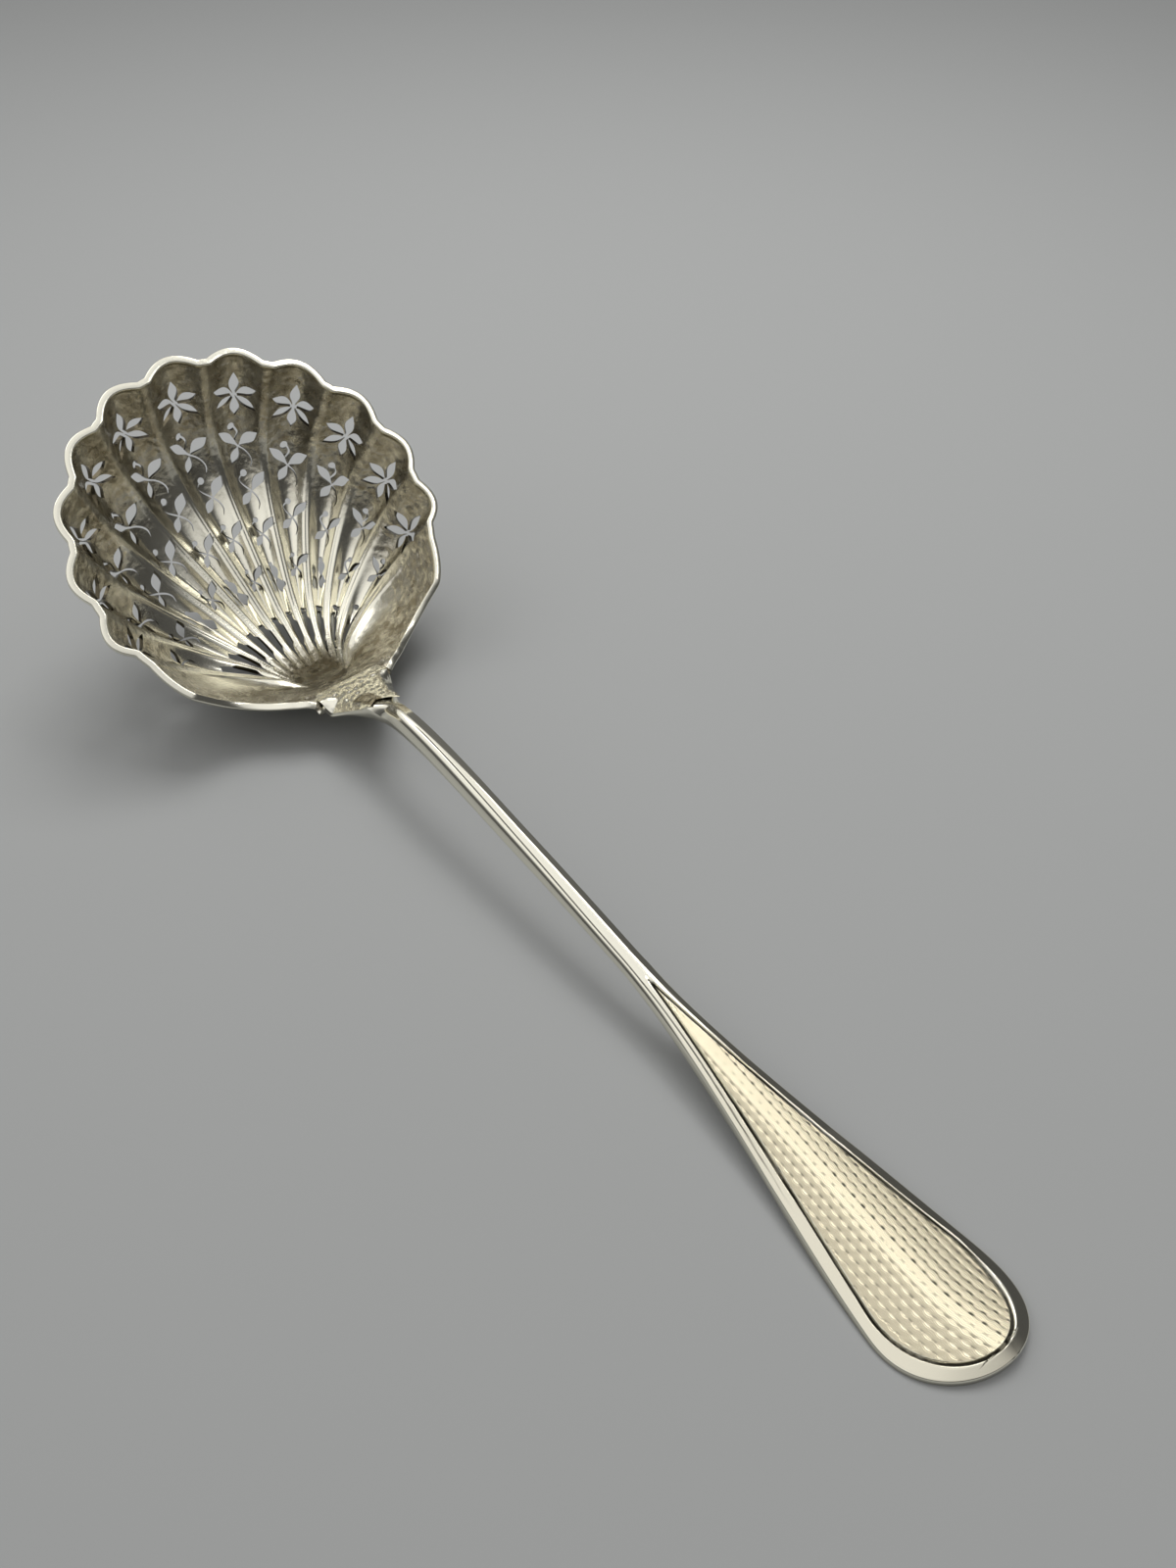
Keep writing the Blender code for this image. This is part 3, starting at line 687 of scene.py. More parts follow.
def wire_profile():
    """Outline of the wire's section: out across the rim and up from the sheet, with round edges."""
    corners = []
    half = WIRE_WIDTH / 2 - WIRE_ROUND
    low, high = WIRE_LOW + WIRE_ROUND, WIRE_HIGH - WIRE_ROUND
    arcs = (((half, low), -pi / 2), ((half, high), 0.0), ((-half, high), pi / 2), ((-half, low), pi))
    for middle, start in arcs:
        for turn in np.linspace(start, start + pi / 2, 4):
            corners.append((middle[0] + WIRE_ROUND * cos(turn), middle[1] + WIRE_ROUND * sin(turn)))
    return np.array(corners)


path = outline_angles()
path = path[np.abs(path) <= HEEL_TURN + 1e-6]
line = struck_sheet(path, np.ones_like(path))
ahead = unit(np.gradient(line, axis=0))
upright = np.array((0.0, 0.0, 1.0))
aside = unit(np.cross(upright, ahead))
upward = upright - ahead * (ahead @ upright)[:, None]
section = wire_profile()
wire_rings = line[:, None] + aside[:, None] * section[:, :1] + upward[:, None] * section[:, 1:]
wire = add_piece("rim_band", *loft(seat_bowl(wire_rings)))
wire.data.set_sharp_from_angle(angle=radians(40.0))

tree, shader = new_material(wire, "rim_silver", BARE_SILVER)
polish = add_group(tree, burnish, {"Size": 1100.0, "Cloud": 0.1, "Base": 0.12})
bump = add_bump(tree, polish["Height"], 0.15, 0.0001)
feed(tree, shader, {"Roughness": polish["Roughness"], "Normal": bump})
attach(wire, "root")
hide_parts("rim_wire")

# Heel lap: a small cast plate soldered over the seam, from the heel edge on to the stem.
# It narrows to a swallow tail with two points. Its middle keeps the marks of the hammer, and a
# plain wing slopes down on each side to the root of the handle.
LAP_THIN = 0.3
LAP_FROM = -1.1
LAP_RISE = 9.22
LAP_CLIMB = 0.26
LAP_CURVE = 0.0075
LAP_LENGTH = 12.8
LAP_HALF = 2.1
LAP_FLARE = 5.5
PLATE_FLARE = 2.65
WING_SLOPE = 1.0
WING_STARTS = (1.5, 4.5)
WING_ENDS = (10.0, 13.0)
FLARE_FROM = -1.0
FLARE_TO = 17.0
LAP_NOTCH = -0.25
LAP_POINTS = (1.0, 3.1)
LAP_CROWN = 0.45
HAMMER_DEPTH = 0.11
EDGE_DROP = 0.15
LAP_ROWS = 61
LAP_COLUMNS = 65
GAP = 0.25
SHEET_UPRIGHT = SHEET * 0.6
HEEL_EDGE = TILT @ struck_sheet(np.array(pi), np.array(1.0)) + np.array((0.0, 0.0, HEEL_HEIGHT))
LAP_START = HEEL_EDGE[0] + SHEET / 2 + GAP


def lap_share(x):
    return np.clip((x - LAP_FROM) / (LAP_LENGTH + 1.5), 0.0, 1.0)


def soft_fold(past, radius):
    """0 before a fold and the distance past it, rounded over a small radius."""
    return (past + np.hypot(past, radius)) / 2


def flare(x):
    """1 at the heel, and 0 where the lap and the root of the handle are as slim as the stem."""
    return 1.0 - ease(FLARE_FROM, FLARE_TO, x)


def lap_half(x):
    """Half the width of the lap, wide along the heel edge and narrow at its tail."""
    return np.minimum(LAP_HALF + LAP_FLARE * flare(x), HEEL_HALF - 0.7)


def plate_half(x):
    """Half the width of the hammered part, between the two plain wings of the lap."""
    return LAP_HALF + PLATE_FLARE * flare(x)


def lap_surface(x, y):
    """Top of the heel lap, rising from the heel edge on to the stem and crowned across it."""
    run = x - LAP_FROM
    rise = LAP_RISE + LAP_CLIMB * run + LAP_CURVE * run * run
    wing = WING_SLOPE * ease(*WING_STARTS, x) * (1.0 - ease(*WING_ENDS, x))
    rise = rise - wing * soft_fold(np.abs(y) - plate_half(x), 0.3)
    across = np.minimum(1.0, np.abs(y) / plate_half(x))
    return rise + LAP_CROWN * (1.0 - across ** 2) * lap_share(x)


def bowl_middle(x, y):
    """Height of the middle of the bowl's sheet over a point of the table, near the heel."""
    x, y = np.broadcast_arrays(x, y)
    low, high = np.full(x.shape, -HEEL_OVER), np.full(x.shape, BOWL_CENTRE)
    for _ in range(40):
        along = (low + high) / 2
        depth = plain_depth(along, np.hypot(along - BOWL_CENTRE, y))
        spot = np.stack((-along, y, -depth), -1) @ TILT.T
        before = spot[..., 0] > x
        low, high = np.where(before, along, low), np.where(before, high, along)
    return spot[..., 2] + HEEL_HEIGHT


def grid_cells(index):
    """Quads between the rows and columns of a grid."""
    return np.stack((index[:-1, :-1], index[1:, :-1], index[1:, 1:], index[:-1, 1:]), -1).reshape(-1, 4)


t = np.linspace(0.0, 1.0, LAP_ROWS)[:, None]
f = np.linspace(-1.0, 1.0, LAP_COLUMNS)[None]
point = np.where(f < LAP_NOTCH, LAP_POINTS[0] * (LAP_NOTCH - f) / (1.0 + LAP_NOTCH),
                 LAP_POINTS[1] * (f - LAP_NOTCH) / (1.0 - LAP_NOTCH))
lap_x = LAP_FROM + (LAP_LENGTH + point * t ** 2) * t
lap_y = f * lap_half(lap_x)
top = lap_surface(lap_x, lap_y)
under = top - LAP_THIN
on_sheet = bowl_middle(lap_x, lap_y) + SHEET_UPRIGHT + 0.03
under = np.where(lap_x < HEEL_EDGE[0], np.maximum(under, on_sheet), under)
top = np.maximum(top, under + 0.1)
away = np.minimum(ease(0.0, 0.2, t), 1.0 - ease(0.8, 1.0, np.abs(f)))
hammered = np.sin(2.9 * lap_x + 1.5 * np.sin(2.1 * lap_y)) * np.sin(2.3 * lap_y + 0.8 * lap_x)
facet = ease(0.62, 0.68, t) * (1.0 - ease(-0.05, 0.05, f))
on_plate = 1.0 - ease(-0.3, 0.3, np.abs(lap_y) - plate_half(lap_x))
top = top + HAMMER_DEPTH * hammered * away * on_plate * (1.0 - facet)
top = top - EDGE_DROP * ease(0.85, 1.0, np.abs(f)) ** 2
size = LAP_ROWS * LAP_COLUMNS
lap_index = np.arange(size).reshape(LAP_ROWS, LAP_COLUMNS)
cells = grid_cells(lap_index)
border = np.concatenate((lap_index[0], lap_index[1:, -1], lap_index[-1, -2::-1], lap_index[-2:0:-1, 0]))
after = np.roll(border, -1)
border_walls = np.stack((border, after, after + size, border + size), -1)
lap_points = np.concatenate([np.stack((lap_x, lap_y, level), -1).reshape(-1, 3) for level in (top, under)])
lap_faces = cells.tolist() + (cells[:, ::-1] + size).tolist() + border_walls.tolist()
lap = add_piece("heel_lap_plate", lap_points + np.array((HEEL_X, 0.0, 0.0)), lap_faces)
lap.data.set_sharp_from_angle(angle=radians(35.0))
# Mask of light tarnish on the hammered plate, and of painted shade on the smooth facet in the notch, which is
# coloured much darker
add_mask(lap, "tarnish_and_facet_shade", np.tile((mix(0.2, 1.5, facet) * on_plate).ravel(), 2))

tree, shader = new_material(lap, "cast_silver", BARE_SILVER)
# The film colours the painted shade of the facet as well as the tarnish
tarnish = add_group(tree, film, {"Mask": read_mask(tree, "tarnish_and_facet_shade")})
polish = add_group(tree, burnish, {"Size": 900.0, "Cloud": 0.12, "Base": 0.1})
dents = add_group(tree, hammer, {"Size": 700.0, "Depth": 1.0})
bump = add_bump(tree, dents["Height"], 0.5, 0.0003)
feed(tree, shader, {"Base Color": tarnish["Colour"], "Roughness": polish["Roughness"], "Normal": bump})
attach(lap, "root")
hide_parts("heel_lap")

# Handle: forged in one from the flared root under the heel, over the arched stem, to the spatula
# blade. A flat opens along its top with one fine line on the near side; on the blade it carries an
# engine turned field inside one deep engraved line, then a bevelled border and a filed edge.
ROOT_FROM = -6.5
ROOT_TO = FLARE_TO
ROOT_FLARE = 6.05
ROOT_LOW = (3.1, 8.9)
ROOT_LOW_OVER = 15.5
ROOT_NOSE = 4.5
SEAT_ENDS = (10.5, 13.5)
SHOULDER_SLOPE = 1.0
CREST_AT = 28.0
CREST_HEIGHT = 15.1
CREST_CURVE = 0.00064
STEM_HALF = 1.87
STEM_THICK = 4.0
STEM_SWELL = 1.2
SWELL_ENDS = (24.0, 54.0)
FAR_FLAT = (1.65, 1.1)
NEAR_FLAT = (0.88, 0.42)
NEAR_WALL = (0.8, 0.5)
FAR_SLOPE = 0.45
NEAR_SLOPE = 0.4
WALL_SLOPE = 1.8
FACETS_FROM = 11.0
FLAT_FROM = 19.0
BLADE_HALF = 10.25
BLADE_THICK = 2.5
BLADE_FROM = 86.0
BLADE_LEAD = 6.0
BLADE_WIDEST = 140.0
BLADE_EDGE = 1.75
BLADE_SLOPE = 0.125
BLADE_ROUND = 1.3
BEVEL_SLOPE = 0.34
NEAR_BEND = -0.4
NEAR_BEND_AT = (112.0, 140.0)
END_BEND = 2.5
END_BULGE = 1.7
EDGE_LIP = 0.2
LIP_WIDTH = 0.28
REST_LENGTH = 17.5
FIELD_FROM = 85.0
FIELD_WIDEST = 138.0
FIELD_END = 151.5
FIELD_HALF = 8.2
FIELD_BULGE = 2.4
FIELD_STEP = 0.18
LEAST_FOLD = 0.35
LINE_HALF = 0.28
LINE_DEPTH = 0.45
FINE_HALF = 0.13
FINE_INSET = 0.92
FINE_DEPTH = 0.12
FINE_ENDS = (108.0, 124.0)
FINE_BY_EDGE = 80.0
EDGE_CURVES = 70.0
WEAVE_WIDE = 1.2
WEAVE_LONG = 1.82
WEAVE_SWING = 0.14
WEAVE_RISE = (0.045, 0.02)
SLIT_DEPTH = 0.08
SLIT_SHADE = (0.35, 0.9)
WORN_RIDGE = 0.25
LINE_PITCH = 0.27
FIELD_SILVER = (0.62, 0.56, 0.41, 1.0)
# The black of the lines, which also colours the painted shade, and the strengths of the painted shade on the
# near border and on the blade's lower edge
LINE_AND_SHADE_BLACK = (0.03, 0.027, 0.02, 1.0)
NEAR_BORDER_SHADE = 0.4
EDGE_SHADE = 0.5


def arch(x):
    """Extra depth of the stem as far as its arch."""
    return STEM_SWELL * (1.0 - ease(*SWELL_ENDS, x))


def ridge(x):
    """Height of the top of the handle: up from the heel, over a crest, down to the flat end."""
    t = part_way(CREST_AT, BLADE_WIDEST + 3.0, x)
    fall = mix(0.5 - 0.5 * np.cos(pi * t), t ** 1.25, 0.3)
    rising = CREST_HEIGHT - CREST_CURVE * (CREST_AT - x) ** 3
    return np.where(x < CREST_AT, rising, mix(CREST_HEIGHT, BLADE_THICK, fall)) + arch(x)


def keel(x):
    """Height of the underside of the handle, flat on the table at the end."""
    thick = mix(STEM_THICK, BLADE_THICK, ease(CREST_AT, BLADE_WIDEST - 15.0, x)) + arch(x)
    rest_from = HANDLE_END - REST_LENGTH
    return np.maximum(0.0, ridge(x) - thick) * (1.0 - ease(rest_from - 20.0, rest_from, x))


def half_width(x):
    """Half the width of the handle: flared root, slim stem, spatula blade with a round end."""
    t = part_way(BLADE_WIDEST, HANDLE_END, x)
    end = BLADE_HALF * np.sqrt(np.maximum(0.0, 1.0 - t ** 2.8)) + END_BULGE * t * (1.0 - t) ** 2
    end = np.maximum(0.05, end)
    root = ROOT_FLARE * flare(x)
    swell = ease(BLADE_FROM, BLADE_WIDEST, x)
    grow = np.maximum(0.0, (x - BLADE_FROM + BLADE_LEAD) / (BLADE_WIDEST - BLADE_FROM + BLADE_LEAD))
    width = STEM_HALF + root + (BLADE_HALF - STEM_HALF) * mix(swell, grow ** 1.4, 0.65)
    nose = ROOT_FROM + ROOT_NOSE
    width = width * np.sqrt(np.clip(1.0 - (np.maximum(0.0, nose - x) / 6.0) ** 2, 0.0, 1.0))
    return np.where(x > BLADE_WIDEST, end, width)


def field_half(x):
    """Half the width inside the engraved line, from its point on the stem to its round end."""
    grow = FIELD_HALF * part_way(FIELD_FROM, FIELD_WIDEST, x) ** 1.2
    t = part_way(FIELD_WIDEST, FIELD_END, x)
    return grow * np.sqrt(np.maximum(0.0, 1.0 - t ** 3.0)) + FIELD_BULGE * t * (1.0 - t) ** 3


def edge_band(x):
    """Width of the edge beside the flat top: shoulder of the root, bevel of the blade."""
    half = half_width(x)
    shoulder = mix(half - lap_half(x) + 0.2, half, ease(FACETS_FROM, ROOT_TO, x))
    band = mix(shoulder, BLADE_EDGE, ease(BLADE_FROM + 4.0, BLADE_WIDEST - 15.0, x))
    beside_field = np.maximum(half - field_half(x) - 2.0 * LINE_HALF, LEAST_FOLD * half)
    return np.where(x > FIELD_FROM, np.minimum(band, beside_field), band)


def on_blade(x):
    """0 along the stem and 1 where the bevels of the blade are full."""
    return ease(BLADE_FROM - 4.0, BLADE_FROM + 24.0, x)


def stem_folds(x):
    """Where the stem's flat ends on the far side and on the near side, and where the near wall starts."""
    half = half_width(x)
    far = half - mix(*FAR_FLAT, ease(22.0, 46.0, x))
    wall = mix(*NEAR_WALL, ease(45.0, 80.0, x)) - half
    return far, wall + mix(*NEAR_FLAT, ease(20.0, 80.0, x)), wall


def blade_bend(x):
    """Small sideways bend of the forged blade, to the near side and then back at its end."""
    t = part_way(BLADE_WIDEST, HANDLE_END, x)
    return NEAR_BEND * ease(*NEAR_BEND_AT, x) + END_BEND * t ** 2


def plan_gap(points, curve_x, curve_half):
    """Shortest distance in plan from points to a curve and its mirror image."""
    curve = np.stack((curve_x, curve_half), -1)
    steps = np.diff(curve, axis=0)
    flat = np.stack((points[:, 0], np.abs(points[:, 1])), -1)
    gaps = np.full(len(flat), 1e9)
    for start in range(0, len(flat), 4000):
        part = flat[start:start + 4000]
        nearest = ((part[:, None] - curve[None]) ** 2).sum(-1).argmin(1)
        for first in (nearest - 1, nearest):
            first = np.clip(first, 0, len(steps) - 1)
            step, away = steps[first], part - curve[first]
            share = np.clip((away * step).sum(1) / np.maximum((step * step).sum(1), 1e-12), 0.0, 1.0)
            gap = np.linalg.norm(away - share[:, None] * step, axis=1)
            gaps[start:start + 4000] = np.minimum(gaps[start:start + 4000], gap)
    return gaps


def groove(gap, half):
    """1 along the middle of a cut line and 0 from its edge on."""
    return np.maximum(0.0, 1.0 - gap / half)


def end_steps(start, end, count):
    """Places that crowd together towards the end."""
    return mix(start, end, 1.0 - (1.0 - np.arange(1, count + 1) / count) ** 2)


def flat_height(x, y):
    """Height of the flat top: against the bowl, under the lap, then along the ridge."""
    roof = BLADE_SLOPE * ease(BLADE_FROM - 2.0, BLADE_FROM + 18.0, x)
    crowned = ridge(x) - roof * (np.hypot(y, BLADE_ROUND) - BLADE_ROUND)
    near = x < ROOT_TO
    seat = bowl_middle(x[near], y[near]) - SHEET_UPRIGHT - GAP * 1.6
    lap_seat = lap_surface(x[near], y[near]) - LAP_THIN - 0.05
    seat = mix(np.minimum(seat, lap_seat), lap_seat, ease(LAP_START - 0.4, LAP_START, x[near]))
    height = crowned.copy()
    height[near] = mix(seat, crowned[near], ease(*SEAT_ENDS, x[near]))
    return height


# Skin of the handle: rows of points across it, closer together along the lines and edges
stations = np.concatenate((
    np.linspace(ROOT_FROM, ROOT_TO, 54), np.linspace(ROOT_TO, FIELD_FROM, 80)[1:],
    np.arange(FIELD_FROM + FIELD_STEP, FIELD_WIDEST, FIELD_STEP),
    end_steps(FIELD_WIDEST, FIELD_END - LINE_HALF, 64),
    FIELD_END + LINE_HALF * np.array((-0.5, 0.0, 0.5, 1.0)),
    end_steps(FIELD_END + LINE_HALF, HANDLE_END, 40)))
half = half_width(stations)
field = field_half(stations)
steep = np.clip(np.hypot(1.0, np.gradient(field, stations)), 1.0, 8.0)
line_out = LINE_HALF * steep
plain_fold = np.maximum(half - edge_band(stations), LEAST_FOLD * half)
on_stem = ease(13.0, 18.0, stations) * (1.0 - ease(BLADE_FROM - 4.0, BLADE_FROM + 8.0, stations))
sides, folds = [], []
for stem_fold in (-stem_folds(stations)[1], stem_folds(stations)[0]):
    fold = mix(plain_fold, np.maximum(stem_fold, 0.05 * half), on_stem)
    folds.append(fold)
    inner_half = np.clip(field - line_out, 0.1 * fold, 0.8 * fold)
    outer_half = np.maximum(np.minimum(field + line_out, 0.93 * fold), inner_half + 0.1 * fold)
    column_sets = (
        (np.zeros_like(half), inner_half, np.linspace(0.0, 1.0, 81)),
        (inner_half, outer_half, np.linspace(0.0, 1.0, 7)[1:]),
        (outer_half, fold, np.array((0.25, 0.5, 0.7, 0.82, 0.91, 1.0))),
        (fold, half, np.array((0.04, 0.08, 0.16, 0.24, 0.32, 0.4, 0.48, 0.56, 0.64, 0.72, 0.8,
                               0.86, 0.91, 0.95, 1.0))))
    sides.append(np.concatenate([a[:, None] + (b - a)[:, None] * shares for a, b, shares in column_sets], 1))
top_y = np.concatenate((-sides[0][:, :0:-1], sides[1]), 1)
top_x = np.broadcast_to(stations[:, None], top_y.shape)
spots = np.stack((top_x, top_y), -1).reshape(-1, 2)
fine_x = np.concatenate((np.linspace(FIELD_FROM, FIELD_WIDEST, 300), end_steps(FIELD_WIDEST, FIELD_END, 300)))
field_gap = plan_gap(spots, fine_x, field_half(fine_x)).reshape(top_y.shape)
edge_x = np.linspace(EDGE_CURVES - 10.0, BLADE_WIDEST, 320)
edge_x = np.concatenate((edge_x, end_steps(BLADE_WIDEST, HANDLE_END, 300)))
edge_gap = plan_gap(spots, edge_x, half_width(edge_x)).reshape(top_y.shape)
straight_gap = half[:, None] - np.abs(top_y)
edge_gap = np.where(top_x < EDGE_CURVES, straight_gap, np.minimum(edge_gap, straight_gap))

blade = on_blade(top_x)
flat = flat_height(top_x, top_y)
root_low = mix(*ROOT_LOW, (stations - ROOT_FROM) / ROOT_LOW_OVER)[:, None]
band = edge_band(top_x)
shouldered = flat - SHOULDER_SLOPE * soft_fold(band - edge_gap, 0.15)
shouldered = np.maximum(shouldered, root_low + 0.2)
far_fold, near_fold, wall_fold = stem_folds(top_x)
sloped = flat - FAR_SLOPE * soft_fold(top_y - far_fold, 0.12) - NEAR_SLOPE * soft_fold(near_fold - top_y, 0.1)
sloped = sloped - WALL_SLOPE * soft_fold(wall_fold - top_y, 0.5)
lip = np.clip(edge_gap / LIP_WIDTH, 0.0, 1.0)
bevel = flat - BEVEL_SLOPE * np.maximum(0.0, band - edge_gap)
edge_level = keel(top_x) + EDGE_LIP
bevelled = edge_level + (bevel - edge_level) * np.sqrt(1.0 - (1.0 - lip) ** 2)
top_z = mix(mix(shouldered, sloped, ease(FACETS_FROM, ROOT_TO, top_x)), bevelled, blade)
has_field = ease(FIELD_FROM - 0.3, FIELD_FROM + 1.5, top_x)
engraved = groove(field_gap, LINE_HALF) * has_field
fine_gap = np.abs(edge_gap - np.where(stations > FINE_BY_EDGE, FINE_INSET, half - folds[0])[:, None])
fine_line = np.where(top_y < 0.0, groove(fine_gap, FINE_HALF), 0.0)
fine_line = fine_line * ease(FLAT_FROM + 2.0, FLAT_FROM + 8.0, top_x) * (1.0 - ease(*FINE_ENDS, top_x))
top_z = top_z - LINE_DEPTH * engraved - FINE_DEPTH * fine_line

# Engine turning: rows of small pillows like basket work, each row half a step on from the last,
# with a short slit beside each pillow and fine lines that swing along the row
in_field = np.abs(top_y) < field[:, None]
turned = ease(0.15, 0.4, np.where(in_field, field_gap, 0.0)) * ease(FIELD_FROM + 1.0, FIELD_FROM + 6.0, top_x)
row = np.floor(top_y / WEAVE_WIDE)
across = 2.0 * (top_y / WEAVE_WIDE - row) - 1.0
along = np.cos(tau * top_x / WEAVE_LONG + pi * row)
pillow = (0.5 + 0.5 * along) * (1.0 - across ** 2)
beside = mix(WORN_RIDGE, 1.0, ease(0.3, 1.3, np.abs(top_y)))
# Painted shade in the slits: darker on the far half of the field, and less along the ridge
slit_shade = mix(*SLIT_SHADE, ease(-0.5, 1.0, top_y)) * beside
weave_rise = mix(*WEAVE_RISE, ease(-1.0, 1.5, top_y)) * beside
slit = ease(0.0, 0.8, along) * ease(0.5, 0.92, -across)
top_z = top_z + (weave_rise * pillow - SLIT_DEPTH * beside * slit) * turned
turned_line = np.where(in_field, top_y + WEAVE_SWING * along, 0.0)
# Painted shade: a darker tone on the near border of the blade only, stopping short of the bright top of its
# edge
border = np.where(in_field, 0.0, NEAR_BORDER_SHADE) * blade * ease(0.75, 1.0, lip) * (1.0 - ease(-1.0, 5.0, top_y))
# Painted shade along the lower part of the blade's rounded edge, on both sides
edge_shade = EDGE_SHADE * blade * (1.0 - ease(0.05, 0.55, lip))
# Dark marks: the engraved lines, and the painted shade of the slits and of the blade's lower edge
lines_and_painted_shade = np.maximum(np.minimum(1.4 * np.maximum(engraved, fine_line), 1.0),
                        np.maximum(slit_shade * slit * turned, edge_shade))

UNDER_COLUMNS = 33
BLADE_FLATNESS = 4.0
under_shares = np.sin(np.linspace(-pi / 2, pi / 2, UNDER_COLUMNS))
bow = np.sqrt(np.maximum(0.0, 1.0 - under_shares ** 2))
under_x = np.broadcast_to(stations[:, None], (len(stations), UNDER_COLUMNS))
under_y = half[:, None] * under_shares
sides = mix(top_z[:, :1], top_z[:, -1:], 0.5 + 0.5 * under_shares)
bottom = mix(keel(under_x), root_low, 1.0 - ease(6.0, 14.0, under_x))
under_z = sides - (sides - bottom) * np.minimum(1.0, bow * mix(1.0, BLADE_FLATNESS, on_blade(under_x)))


def grid_normals(grid):
    """Normals of a grid of points, upward where rows run along x and columns along y."""
    return unit(np.cross(np.gradient(grid, axis=0), np.gradient(grid, axis=1)))


top_grid = np.stack((top_x, top_y + blade_bend(top_x), top_z), -1)
under_grid = np.stack((under_x, under_y + blade_bend(under_x), under_z), -1)
rows, wide = top_y.shape
top_index = np.arange(rows * wide).reshape(rows, wide)
own_columns = UNDER_COLUMNS - 2
under_index = rows * wide + np.arange(rows * own_columns).reshape(rows, own_columns)
under_index = np.concatenate((top_index[:, :1], under_index, top_index[:, -1:]), 1)
root_cap = np.concatenate((top_index[0], under_index[0, -2:0:-1]))
end_cap = np.concatenate((top_index[-1], under_index[-1, -2:0:-1]))[::-1]
own = np.arange(rows * UNDER_COLUMNS).reshape(rows, UNDER_COLUMNS)
handle_points = np.concatenate((top_grid.reshape(-1, 3), under_grid[:, 1:-1].reshape(-1, 3)))
handle_faces = (grid_cells(top_index).tolist() + grid_cells(under_index)[:, ::-1].tolist()
                + [root_cap.tolist(), end_cap.tolist()])
handle_normals = np.concatenate((
    grid_normals(top_grid).reshape(-1, 3)[grid_cells(top_index).ravel()],
    -grid_normals(under_grid).reshape(-1, 3)[grid_cells(own)[:, ::-1].ravel()],
    np.tile((-1.0, 0.0, 0.0), (len(root_cap), 1)), np.tile((1.0, 0.0, 0.0), (len(end_cap), 1))))
handle_points = handle_points + np.array((HEEL_X, 0.0, 0.0))
handle = add_piece("forged_handle", handle_points, handle_faces, handle_normals)
# The engraved mask carries the lines and the painted shade; the field mask carries the engine turned field
# and the painted shade of the near border
masks = {"field": np.maximum(turned, border), "turned_line": turned_line, "engraved": lines_and_painted_shade}
for mask_name, mask in masks.items():
    add_mask(handle, mask_name, np.concatenate((mask.ravel(), np.zeros(rows * own_columns))))

tree, shader = new_material(handle, "handle_silver", BARE_SILVER)
field_and_border_shade = read_mask(tree, "field")
polish = add_group(tree, burnish, {"Size": 900.0, "Cloud": 0.06, "Base": 0.08})
line_turn = work_out(tree, "MULTIPLY", read_mask(tree, "turned_line"), tau / LINE_PITCH)
cut_lines = work_out(tree, "MULTIPLY", work_out(tree, "SINE", line_turn), field_and_border_shade)
marks = work_out(tree, "MULTIPLY_ADD", polish["Height"], 0.05, cut_lines)
# The field's tone covers the engine turned field and the painted shade of the near border; black then covers
# the lines and the other painted shade
toned = lay_over(tree, field_and_border_shade, BRIGHT_SILVER, FIELD_SILVER)
feed(tree, shader, {
    "Base Color": lay_over(tree, read_mask(tree, "engraved"), toned, LINE_AND_SHADE_BLACK),
    "Roughness": work_out(tree, "MULTIPLY_ADD", field_and_border_shade, 0.1, polish["Roughness"]),
    "Normal": add_bump(tree, marks, 0.2, 0.00002)})
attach(handle, "root")
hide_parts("handle")

# Table: a plain sheet of matt grey paper that the spoon lies on, so wide that its edge stays
# out of the camera's view
TABLE_HALF = 2500.0
TABLE_GREY = (0.285, 0.289, 0.285, 1.0)
corners = ((-1, -1), (1, -1), (1, 1), (-1, 1))
table = add_piece("table", [(x * TABLE_HALF, y * TABLE_HALF, 0.0) for x, y in corners], [(0, 1, 2, 3)])
new_material(table, "grey_paper", {"Base Color": TABLE_GREY, "Roughness": 0.9, "Specular IOR Level": 0.2})

# Light: a tent that is bright overhead and on the near side, and falls off to a dark far side
# and horizon, with a soft fill, a long strip over the far side and a key lamp for the shadows
bpy.context.scene.view_settings.view_transform = "Standard"
BRIGHT_WAY = (-0.25, -0.33, 0.9)
ROOM_TONES = ((0.0, 0.03), (0.2, 0.06), (0.36, 0.22), (0.5, 0.62), (0.62, 0.72), (0.74, 0.87), (1.0, 0.94))
HORIZON_TONES = ((0.0, 0.12), (0.22, 0.2), (0.4, 1.0))
FAR_WAY = (-0.66, 0.74, 0.1)
FAR_TONES = ((0.8, 0.07), (0.95, 0.14))
world = bpy.data.worlds.new("room")
bpy.context.scene.world = world
world.use_nodes = True
room = world.node_tree
way = add_node(room, "TexCoord").outputs["Generated"]
toward = add_node(room, "VectorMath", {0: way, 1: BRIGHT_WAY}, operation="DOT_PRODUCT").outputs["Value"]
aside = add_node(room, "VectorMath", {0: way, 1: FAR_WAY}, operation="DOT_PRODUCT").outputs["Value"]
height = add_node(room, "SeparateXYZ", {0: way}).outputs["Z"]
ramps = []
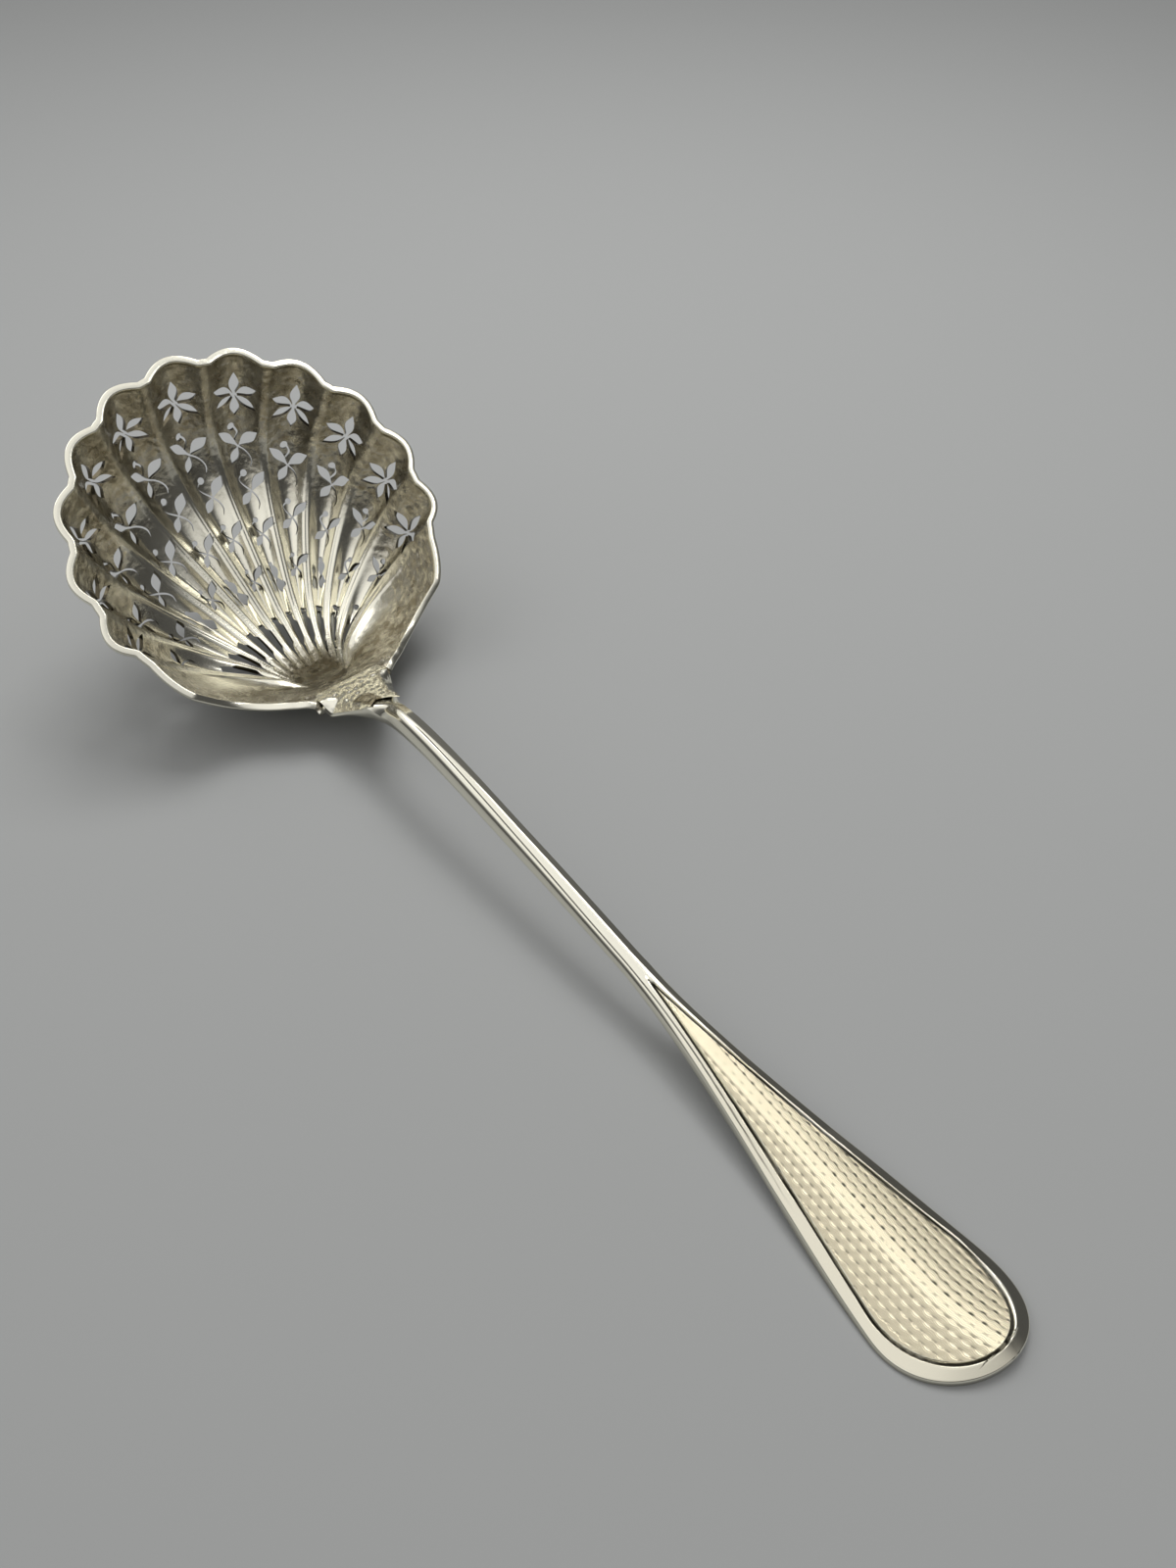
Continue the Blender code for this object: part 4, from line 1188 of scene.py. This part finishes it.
for value, tones in ((toward, ROOM_TONES), (height, HORIZON_TONES), (aside, FAR_TONES)):
    ramp = add_node(room, "ValToRGB", {"Fac": value})
    stops = ramp.color_ramp.elements
    while len(stops) < len(tones):
        stops.new(0.5)
    for stop, (position, grey) in zip(stops, tones):
        stop.position = position
        stop.color = (grey, grey, grey, 1.0)
    ramps.append(ramp.outputs["Color"])
tone = lay_over(room, 1.0, ramps[0], ramps[1], "MULTIPLY")
tone = lay_over(room, 1.0, tone, ramps[2], "LIGHTEN")
feed(room, room.nodes["Background"], {"Color": tone})


def add_lamp(name, place, size, energy):
    """Flat lamp that faces the middle of the table."""
    light = bpy.data.lights.new(name, "AREA")
    light.shape = "RECTANGLE"
    light.size, light.size_y = size
    light.energy = energy
    lamp = bpy.data.objects.new(name, light)
    lamp.location = place
    lamp.rotation_euler = (-lamp.location).to_track_quat("-Z", "Y").to_euler()
    bpy.context.scene.collection.objects.link(lamp)
    return lamp


add_lamp("fill", (-0.38, -0.12, 0.42), (0.28, 0.28), 0.34)
add_lamp("strip", (0.0, 0.27, 0.53), (0.5, 0.09), 0.42)
key = add_lamp("key", (-0.18, 0.20, 0.50), (0.3, 0.3), 1.8)
key.visible_glossy = False

# Camera: held above the end of the handle, looking down over it to the bowl, with its place in
# millimetres and its turns in radians
CAMERA_PLACE = (105.861, -70.139, 160.202)
CAMERA_TURN = 2.45057
CAMERA_DOWN = 0.827872
CAMERA_ROLL = 0.0020261
CAMERA_LENS = 27.09
forward = Vector((cos(CAMERA_DOWN) * cos(CAMERA_TURN), cos(CAMERA_DOWN) * sin(CAMERA_TURN),
                  -sin(CAMERA_DOWN)))
level = Vector((sin(CAMERA_TURN), -cos(CAMERA_TURN), 0.0))
upward = level.cross(forward)
turned = level * cos(CAMERA_ROLL) + upward * sin(CAMERA_ROLL)
upward = upward * cos(CAMERA_ROLL) - level * sin(CAMERA_ROLL)
camera = bpy.data.objects.new("camera", bpy.data.cameras.new("camera"))
camera.data.lens = CAMERA_LENS
camera.data.clip_start = 0.01
camera.location = Vector(CAMERA_PLACE) * MM
camera.rotation_euler = Matrix((turned, upward, -forward)).transposed().to_euler()
bpy.context.scene.collection.objects.link(camera)
bpy.context.scene.camera = camera
